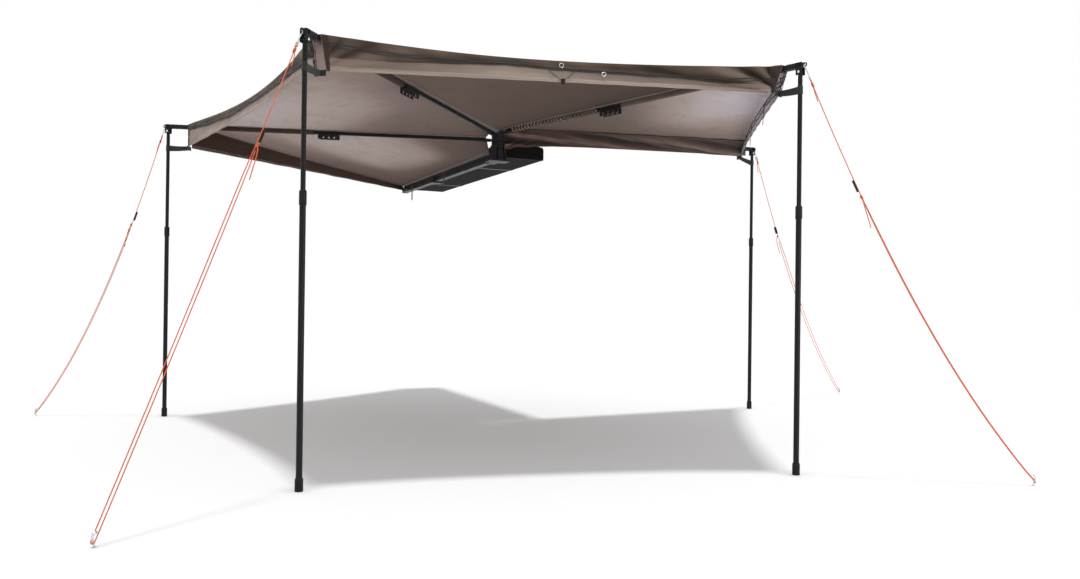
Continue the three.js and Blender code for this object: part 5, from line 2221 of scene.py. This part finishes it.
class SolidFinishes:
    """Finishes of the frame's own solids that stay in view."""

    named = {
        "hub_bracket": Finish.MOULDING,
        "hub_pin": Finish.ZINC,
        "backbone_rail": Finish.POWDER,
        "rail_end_cap": Finish.SMOOTH_PLASTIC,
        "mount_bracket_front": Finish.POWDER,
        "bag_strap_rear": Finish.WEBBING,
        "bag_strap_front": Finish.WEBBING,
    }
    by_ending = {"_knuckle": Finish.MOULDING, "_tube": Finish.POWDER}

    @classmethod
    def dress(cls) -> None:
        """Dresses every solid of the frame that has a finish here."""
        for name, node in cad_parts.items():
            endings = (finish for ending, finish in cls.by_ending.items() if name.endswith(ending))
            finish = cls.named.get(name) or next(endings, None)
            if finish is not None:
                finish.dress(node)
                LOG.info("%s: %s", name, finish.name.lower())


# Studio


@dataclass
class Studio:
    """The camera at the photograph's place, the floor and the soft light."""

    camera_at: Point = (-1.977, -4.951, -0.789)
    heading: tuple[float, float] = (0.4163, 0.9092)
    pitch: float = 0.005124
    roll: float = 0.01239
    focal_px: float = 888.99
    image_width: float = 1080
    sky: float = 0.62
    sun: float = 1.75
    sun_angle: float = 5
    sun_from: Point = (0.0, -0.02, 1.0)
    card_at: Point = (2.6, -5.6, -1.25)
    card_aim: Point = (0.2, -0.4, 0.15)
    card_size: float = 2.4
    card_power: float = 90

    def camera(self) -> None:
        """Places the camera with the photograph's viewing angle and field of view."""
        fx, fy = self.heading
        c, s = math.cos(self.pitch), math.sin(self.pitch)
        forward, up = Vector((fx * c, fy * c, s)), Vector((-fx * s, -fy * s, c))
        right = Vector((fy, -fx, 0))
        c, s = math.cos(self.roll), math.sin(self.roll)
        data = bpy.data.cameras.new("camera")
        data.sensor_width = 36
        data.lens = self.focal_px / self.image_width * data.sensor_width
        data.clip_start, data.clip_end = 0.05, 100
        camera = bpy.data.objects.new("camera", data)
        bpy.context.collection.objects.link(camera)
        camera.matrix_world = framed((right * c + up * s, up * c - right * s, -forward), self.camera_at)
        bpy.context.scene.camera = camera

    def floor(self) -> None:
        """Lays a plain white floor that keeps the awning's shadow."""
        Bench.clear()
        bpy.ops.mesh.primitive_plane_add(size=120, location=(0, 0, GROUND - 0.0005))
        floor = Bench.settled(bpy.context.object)
        floor.name = "floor"
        recipe = Recipe("studio_floor")
        recipe.set(Roughness=0.9, Specular_IOR_Level=0.1, Base_Color=(0.9, 0.9, 0.9, 1))
        floor.data.materials.append(recipe.material)
        floor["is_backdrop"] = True

    def world(self) -> None:
        """Sets a white background and an even grey light from all round."""
        world = bpy.data.worlds.new("studio")
        bpy.context.scene.world = world
        world.use_nodes = True
        graph = Graph(world.node_tree)
        light, back = (graph.node("Background", None, {0: (1, 1, 1, 1), 1: power}) for power in (self.sky, 1))
        camera, glossy = (graph.node("LightPath", output=f"Is {ray} Ray") for ray in ("Camera", "Glossy"))
        shader = graph.node("MixShader", None, {0: camera.math("MAXIMUM", glossy), 1: light, 2: back})
        graph.put(graph.tree.nodes.new("ShaderNodeOutputWorld").inputs[0], shader)

    def lamp(self, name: str, kind: str, way: Vector, **settings: object) -> Piece:
        """Adds a lamp.

        Args:
            name: its name.
            kind: its type.
            way: which way it shines.
            settings: its light's properties.

        Returns:
            The lamp.
        """
        data = bpy.data.lights.new(name, kind)
        for key, value in settings.items():
            setattr(data, key, value)
        lamp = bpy.data.objects.new(name, data)
        bpy.context.collection.objects.link(lamp)
        lamp.rotation_euler = way.to_track_quat("-Z", "Y").to_euler()
        return lamp

    def build(self) -> None:
        """Sets up the camera, the floor, one soft sun and a low lamp that shows the folds from below."""
        bpy.context.scene.view_settings.view_transform = "Standard"
        self.camera()
        self.floor()
        self.world()
        angle = math.radians(self.sun_angle)
        self.lamp("soft_sun", "SUN", -Vector(self.sun_from), energy=self.sun, angle=angle)
        aim = Vector(self.card_aim) - Vector(self.card_at)
        card = self.lamp("low_card", "AREA", aim, shape="SQUARE", size=self.card_size, energy=self.card_power)
        card.location = self.card_at
        card.visible_camera = False


def main() -> None:
    """Builds the awning's looks over its frame, sub-assembly by sub-assembly."""
    logging.basicConfig(level=logging.INFO, format="%(name)s: %(message)s")
    Studio().build()
    for arm in ARMS:
        GuyRope(arm).build()
    Legs().build()
    LegClips().build()
    for arm in ARMS:
        EndFitting(arm).build()
    SolidFinishes.dress()
    for panel in PANELS:
        panel.build()
    HangingSkirt(ARMS[3]).build()
    SideFlap(PANELS[3], ARMS[3]).build()
    for sleeve in SLEEVES:
        sleeve.build()
    for arm in ARMS:
        CornerStrap(arm, climb=0.028 if arm.name == "d" else 0.0).build()
    TravelBag().build()


def written_size() -> None:
    """Measures the frame's box and the dressed model's box."""
    boxes = {"cad": CAD_BOX, "visual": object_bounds()}
    {key: [list(map(float, corner)) for corner in box] for key, box in boxes.items()}


if __name__ == "__main__":
    main()
    written_size()
